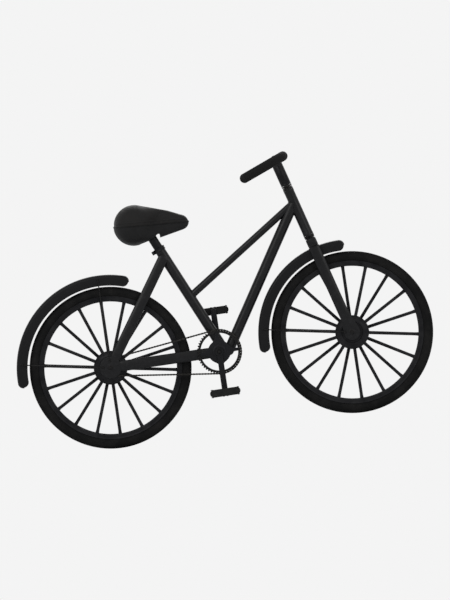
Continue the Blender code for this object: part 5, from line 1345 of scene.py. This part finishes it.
POST_HEAD = seat_axis(POST_TOP)
RAIL_CENTRE = POST_HEAD + Vector((-0.0086, 0, 0.0195))
SADDLE_BACK = RAIL_CENTRE + Vector((-0.0566, 0, 0.0292))
SADDLE_NOSE = RAIL_CENTRE + Vector((0.1511, 0, 0.0166))
SADDLE_WAY = SADDLE_NOSE - SADDLE_BACK
SADDLE_LENGTH = SADDLE_WAY.length
SADDLE_BACK_R, SADDLE_NOSE_R = 0.090, 0.0369
SADDLE_LEAN = math.asin((SADDLE_BACK_R - SADDLE_NOSE_R) / SADDLE_LENGTH)
ON_THE_RAILS = along(RAIL_CENTRE, SADDLE_WAY)
ON_THE_SADDLE = along(SADDLE_BACK, SADDLE_WAY)
# Forward of the rails' centre, to the side and up
RAIL_SHAPE = ((-0.036, 0.047, 0.0217), (-0.020, 0.041, 0.016), (0.014, 0.024, 0.0), (0.032, 0.022, 0.0),
              (0.060, 0.018, 0.0), (0.100, 0.013, 0.001), (0.132, 0.010, 0.010), (0.160, 0.007, 0.0195),
              (0.174, 0.0, 0.0205))


def seat_post():
    """The post with its shoulder and the cross head that the saddle clamp turns on."""
    post = turned(mm(18, -320, 19.5, -320, 20, -319.5, 20, -34, 19.6, -33.6, 19.6, -32.6, 20, -32.2, 20, -20,
                     19, -17, 15, -14, 13, -11, 12.2, 0, 0, 0, 0, -8, 12, -20, 18, -30),
                  along(POST_HEAD, SEAT_AXIS), 64)
    half = mm(0, 31.8, 11, 31.8, 11.8, 31, 12, 29, 12, 16, 11.2, 15)
    fit("seatpost_full", [post, spun(POST_HEAD, both_ways(half))], ALLOY, "seatpost")


def saddle_clamp():
    """Two jaws that hold the rails, cheeks down to the cross head, and the bolt through it."""
    upper = [block((0.0078, 0.060, 0.042), ON_THE_RAILS @ shift(-0.0043, 0, 0.009), 0.0022, 3)]
    lower = block((0.0105, 0.060, 0.046), ON_THE_RAILS @ shift(0.00675, 0, 0.009), 0.0022, 3)
    lower = carved([lower], cross_bar(POST_HEAD, 0.0126, -0.1, 0.1, 48, 0))
    fit("saddle_clamp_lower_jaw", lower, PLATE_ALLOY, "saddle", stands_for="saddle_clamp")
    spot = POST_HEAD + Vector((0.001, 0, 0.0170))
    cheek_in, cheek_out, bolts = 0.0322, 0.0352, []
    for _, side in SIDES:
        upper.append(plate([belt(POST_HEAD, 0.0108, spot, 0.0128)], side * cheek_in, side * cheek_out,
                           0.0008))
        bolts += hex_head(outward(POST_HEAD, cheek_out, side), 0.0125, 0.0050, 0.0012)
    fit("saddle_clamp_upper_jaw", upper, PLATE_ALLOY, "saddle")
    for y in (0.011, -0.011):
        bolts += socket_head(ON_THE_RAILS @ along((-0.0080, y, 0.024), (-1, 0, 0)), 0.0042, 0.0032)
    fit("saddle_clamp_bolts", bolts, STEEL, "saddle")


def saddle_rails():
    """One wire, bent round at the nose, that runs back on both sides."""
    half = [ON_THE_RAILS @ Vector((-up, across, forward)) for forward, across, up in RAIL_SHAPE]
    path = smooth_path(with_mirror(half), 6)
    fit("saddle_rails_full", [swept(path, circle(0.0035, 16))], STEEL, "saddle")


def saddle_half_height(u):
    """Half the height of the teardrop round the saddle's back and nose circles."""
    if u < SADDLE_BACK_R * math.sin(SADDLE_LEAN):
        return math.sqrt(max(0, SADDLE_BACK_R ** 2 - u ** 2))
    if u > SADDLE_LENGTH + SADDLE_NOSE_R * math.sin(SADDLE_LEAN):
        return math.sqrt(max(0, SADDLE_NOSE_R ** 2 - (u - SADDLE_LENGTH) ** 2))
    return (SADDLE_BACK_R - u * math.sin(SADDLE_LEAN)) / math.cos(SADDLE_LEAN)


def saddle_half_width(u):
    """Half the width in plan: broad and round behind, slim towards the nose."""
    broad, slim = 0.105, 0.031
    share = min(1, max(0, (u - 0.010) / 0.120))
    width = broad + (slim - broad) * share * share * (3 - 2 * share)
    back = min(1, (u + SADDLE_BACK_R) / 0.075)
    front = min(1, (SADDLE_LENGTH + SADDLE_NOSE_R - u) / 0.030)
    return width * math.sqrt(max(0, 1 - (1 - back) ** 2)) * math.sqrt(max(0, 1 - (1 - front) ** 2))


def saddle_rows(side, narrow, shallow, stations=44, around=28):
    """Rows across the saddle above (side 1) or below (side -1) its middle line, from back to nose."""
    low, high = shallow - SADDLE_BACK_R, SADDLE_LENGTH + SADDLE_NOSE_R - shallow
    rows = []
    for station in range(stations + 1):
        share = 0.02 + 0.96 * station / stations
        u = (low + high) / 2 - (high - low) / 2 * math.cos(math.pi * share)
        height = max(0.002, saddle_half_height(u) - shallow)
        width = max(0.003, saddle_half_width(u) - narrow)
        row = []
        for turn in (math.pi * k / around for k in range(around + 1)):
            across = width * math.copysign(abs(math.cos(turn)) ** 0.75, math.cos(turn))
            row.append(ON_THE_SADDLE @ Vector((-side * height * math.sin(turn) ** 0.85, across, u)))
        rows.append(row)
    return rows


def saddle_shell():
    """The moulded shell under the cushion, hollow, with a mouth for the post."""
    shell = loose("shell", mesh_of("shell", [skin(saddle_rows(-1, 0.006, 0.0012), False)]))
    wall = shell.modifiers.new("wall", "SOLIDIFY")
    wall.thickness = 0.003
    wall.offset = -1
    mouth = Matrix.Translation(RAIL_CENTRE + Vector((0.006, 0, -0.0525)))
    made = carved(settled(shell), block((0.092, 0.060, 0.065), mouth, 0.008, 5))
    fit("saddle_shell", made, SHELL_PLASTIC, "saddle", stands_for="saddle_base")


def saddle_edge(narrow, shallow, lift):
    """The saddle's outline in plan, this far in from its sides and from its ends, and this far up."""
    rows = saddle_rows(-1, narrow, shallow, 60, 4)
    return [p + UP * lift for p in [row[0] for row in rows] + [row[-1] for row in reversed(rows)]]


def puffed(mesh, cap):
    """The pad blown up by a cloth simulation: no point moves further than the cap, none at the piping."""
    body = loose("pad", mesh)
    body.modifiers.new("even", "REMESH").voxel_size = 0.005
    mesh = settled(body)
    start = [v.co.copy() for v in mesh.vertices]
    body = loose("pad", mesh)
    cloth = body.modifiers.new("cloth", "CLOTH")
    cloth.settings.use_pressure = True
    cloth.settings.uniform_pressure_force = 4
    cloth.settings.effector_weights.gravity = 0
    frames = 20
    for step in range(1, frames + 1):
        bpy.context.scene.frame_set(step)
    mesh = settled(body)
    bpy.context.scene.frame_set(1)
    upright = ON_THE_SADDLE.inverted()
    for vertex, was in zip(mesh.vertices, start):
        move = vertex.co - was
        reach = cap * min(1, max(0, -(upright @ was).x / 0.012))
        if move.length > reach:
            vertex.co = was + move.normalized() * reach
    return mesh


def saddle_cushion():
    """The padded top with its piping, the shell's lip below it, and a seam and stitches above it."""
    tuck = UP * -0.007
    rows = [[row[0] + tuck] + row + [row[-1] + tuck] for row in saddle_rows(1, 0.0036, 0.0012)]
    pad = loose("pad", puffed(mesh_of("pad", [skin(rows, True)]), 0.0036))
    smooth = pad.modifiers.new("smooth", "SUBSURF")
    smooth.levels = smooth.render_levels = 1
    pad = fit("saddle_cushion_full", settled(pad), VINYL, "saddle", sharp=60)
    surface = BVHTree.FromPolygons([v.co for v in pad.data.vertices], [p.vertices for p in pad.data.polygons])

    piped_edge = partial(saddle_edge, 0.0032, 0.0010)

    def on_cushion(lift):
        return [surface.find_nearest(p)[0] for p in piped_edge(lift)]
    for name, path, radius, steps, material in (
            ("piping", piped_edge(0.0006), 0.0023, 12, VINYL),
            ("shell_lip", saddle_edge(0.0050, 0.0012, -0.0030), 0.0022, 10, SHELL_PLASTIC),
            ("seam", on_cushion(0.013), 0.0009, 8, VINYL)):
        fit("saddle_" + name, [swept(path, circle(radius, steps), closed=True)], material, "saddle")
    stitch = [bar((-0.0017, 0, 0), (0.0017, 0, 0), 0.0006, 6, 0.0004)]
    fit("saddle_stitches", row_of(ALONG_A_SEAM, stitch, on_cushion(0.0165), 150, THREAD), THREAD, "saddle")


seat_post()
saddle_clamp()
saddle_rails()
saddle_shell()
saddle_cushion()


# Finishes for what is still a CAD node, and the studio

FINISH_OF = {"frame_paint": ENAMEL, "tyre_rubber": TYRE_RUBBER, "grip_rubber": GRIP_RUBBER, "alloy": ALLOY,
             "bar_alloy": ALLOY, "steel": STEEL, "plastic": GUARD_PLASTIC, "cushion": VINYL}
for part in frame["record"]["subparts"]:
    for spot in frame["nodes"][part["node"]].material_slots:
        spot.material = FINISH_OF[part["material_slot"]]


PAPER = tint((905, 905, 905))


def placed(name, data, place):
    """A lamp or a camera in the scene."""
    obj = bpy.data.objects.new(name, data)
    bpy.context.scene.collection.objects.link(obj)
    obj.matrix_world = place
    return obj


def floor():
    """A plain pale floor under the bicycle that turns into the paper colour further off."""
    mesh = bpy.data.meshes.new("floor")
    mesh.from_pydata([(-40, -40, 0), (40, -40, 0), (40, 40, 0), (-40, 40, 0)], [], [(0, 1, 2, 3)])
    made, tree, shader, coords = finish("studio_floor", (860, 860, 860), 0.9, specular=0.1)
    pale = shade(tree, speckle(tree, coords, 3, 3), (850, 850, 850), (870, 870, 870))
    tree.links.new(pale, shader.inputs["Base Color"])
    distance = node(tree, "ShaderNodeVectorMath", coords, operation="LENGTH").outputs["Value"]
    far = node(tree, "ShaderNodeMapRange", distance, 1.1, 2.6, 0, 1,
               interpolation_type="SMOOTHSTEP").outputs[0]
    seen = node(tree, "ShaderNodeLightPath").outputs["Is Camera Ray"]
    paper = node(tree, "ShaderNodeEmission", PAPER, 1.0).outputs[0]
    mixed = node(tree, "ShaderNodeMixShader", calc(tree, "MULTIPLY", far, seen), shader.outputs[0], paper)
    tree.links.new(mixed.outputs[0], tree.nodes["Material Output"].inputs["Surface"])
    mesh.materials.append(made)
    loose("floor", mesh)


def studio_world():
    """White to the camera and in reflections, softer as a light."""
    world = bpy.data.worlds.new("studio")
    bpy.context.scene.world = world
    world.use_nodes = True
    tree = world.node_tree
    tree.nodes.clear()
    seen = node(tree, "ShaderNodeBackground", PAPER, 1.0).outputs[0]
    light = node(tree, "ShaderNodeBackground", (0.96, 0.97, 1.0, 1), 0.8).outputs[0]
    rays = node(tree, "ShaderNodeLightPath").outputs
    plain = calc(tree, "MAXIMUM", rays["Is Camera Ray"],
                 calc(tree, "MAXIMUM", rays["Is Glossy Ray"], rays["Is Transmission Ray"]))
    node(tree, "ShaderNodeOutputWorld", node(tree, "ShaderNodeMixShader", plain, light, seen).outputs[0])


def softbox(name, place, target, size, power):
    lamp = bpy.data.lights.new(name, "AREA")
    lamp.shape = "RECTANGLE"
    lamp.size, lamp.size_y = size
    lamp.energy = power
    placed(name, lamp, along(place, Vector(place) - Vector(target), UP))


def camera():
    """Square on to the right-hand side, without perspective, turned so that the front rides high."""
    lens = bpy.data.cameras.new("camera")
    lens.type = "ORTHO"
    lens.ortho_scale = 2.652
    turn = math.radians(8.391)
    right = Vector((math.cos(turn), 0, -math.sin(turn)))
    up = Vector((math.sin(turn), 0, math.cos(turn)))
    facing = Matrix((right, up, right.cross(up))).transposed().to_4x4()
    bpy.context.scene.camera = placed("camera", lens, shift(0.0331, -4, 0.5803) @ facing)


floor()
studio_world()
softbox("key", (-1.6, -2.6, 2.6), (0, 0, 0.5), (2.4, 2.0), 30)
softbox("fill", (2.4, -2.2, 1.8), (0, 0, 0.5), (2.0, 2.0), 16)
softbox("back", (0.5, 2.8, 2.4), (0, 0, 0.6), (2.6, 1.6), 26)
camera()
bpy.context.scene.view_settings.view_transform = "Standard"
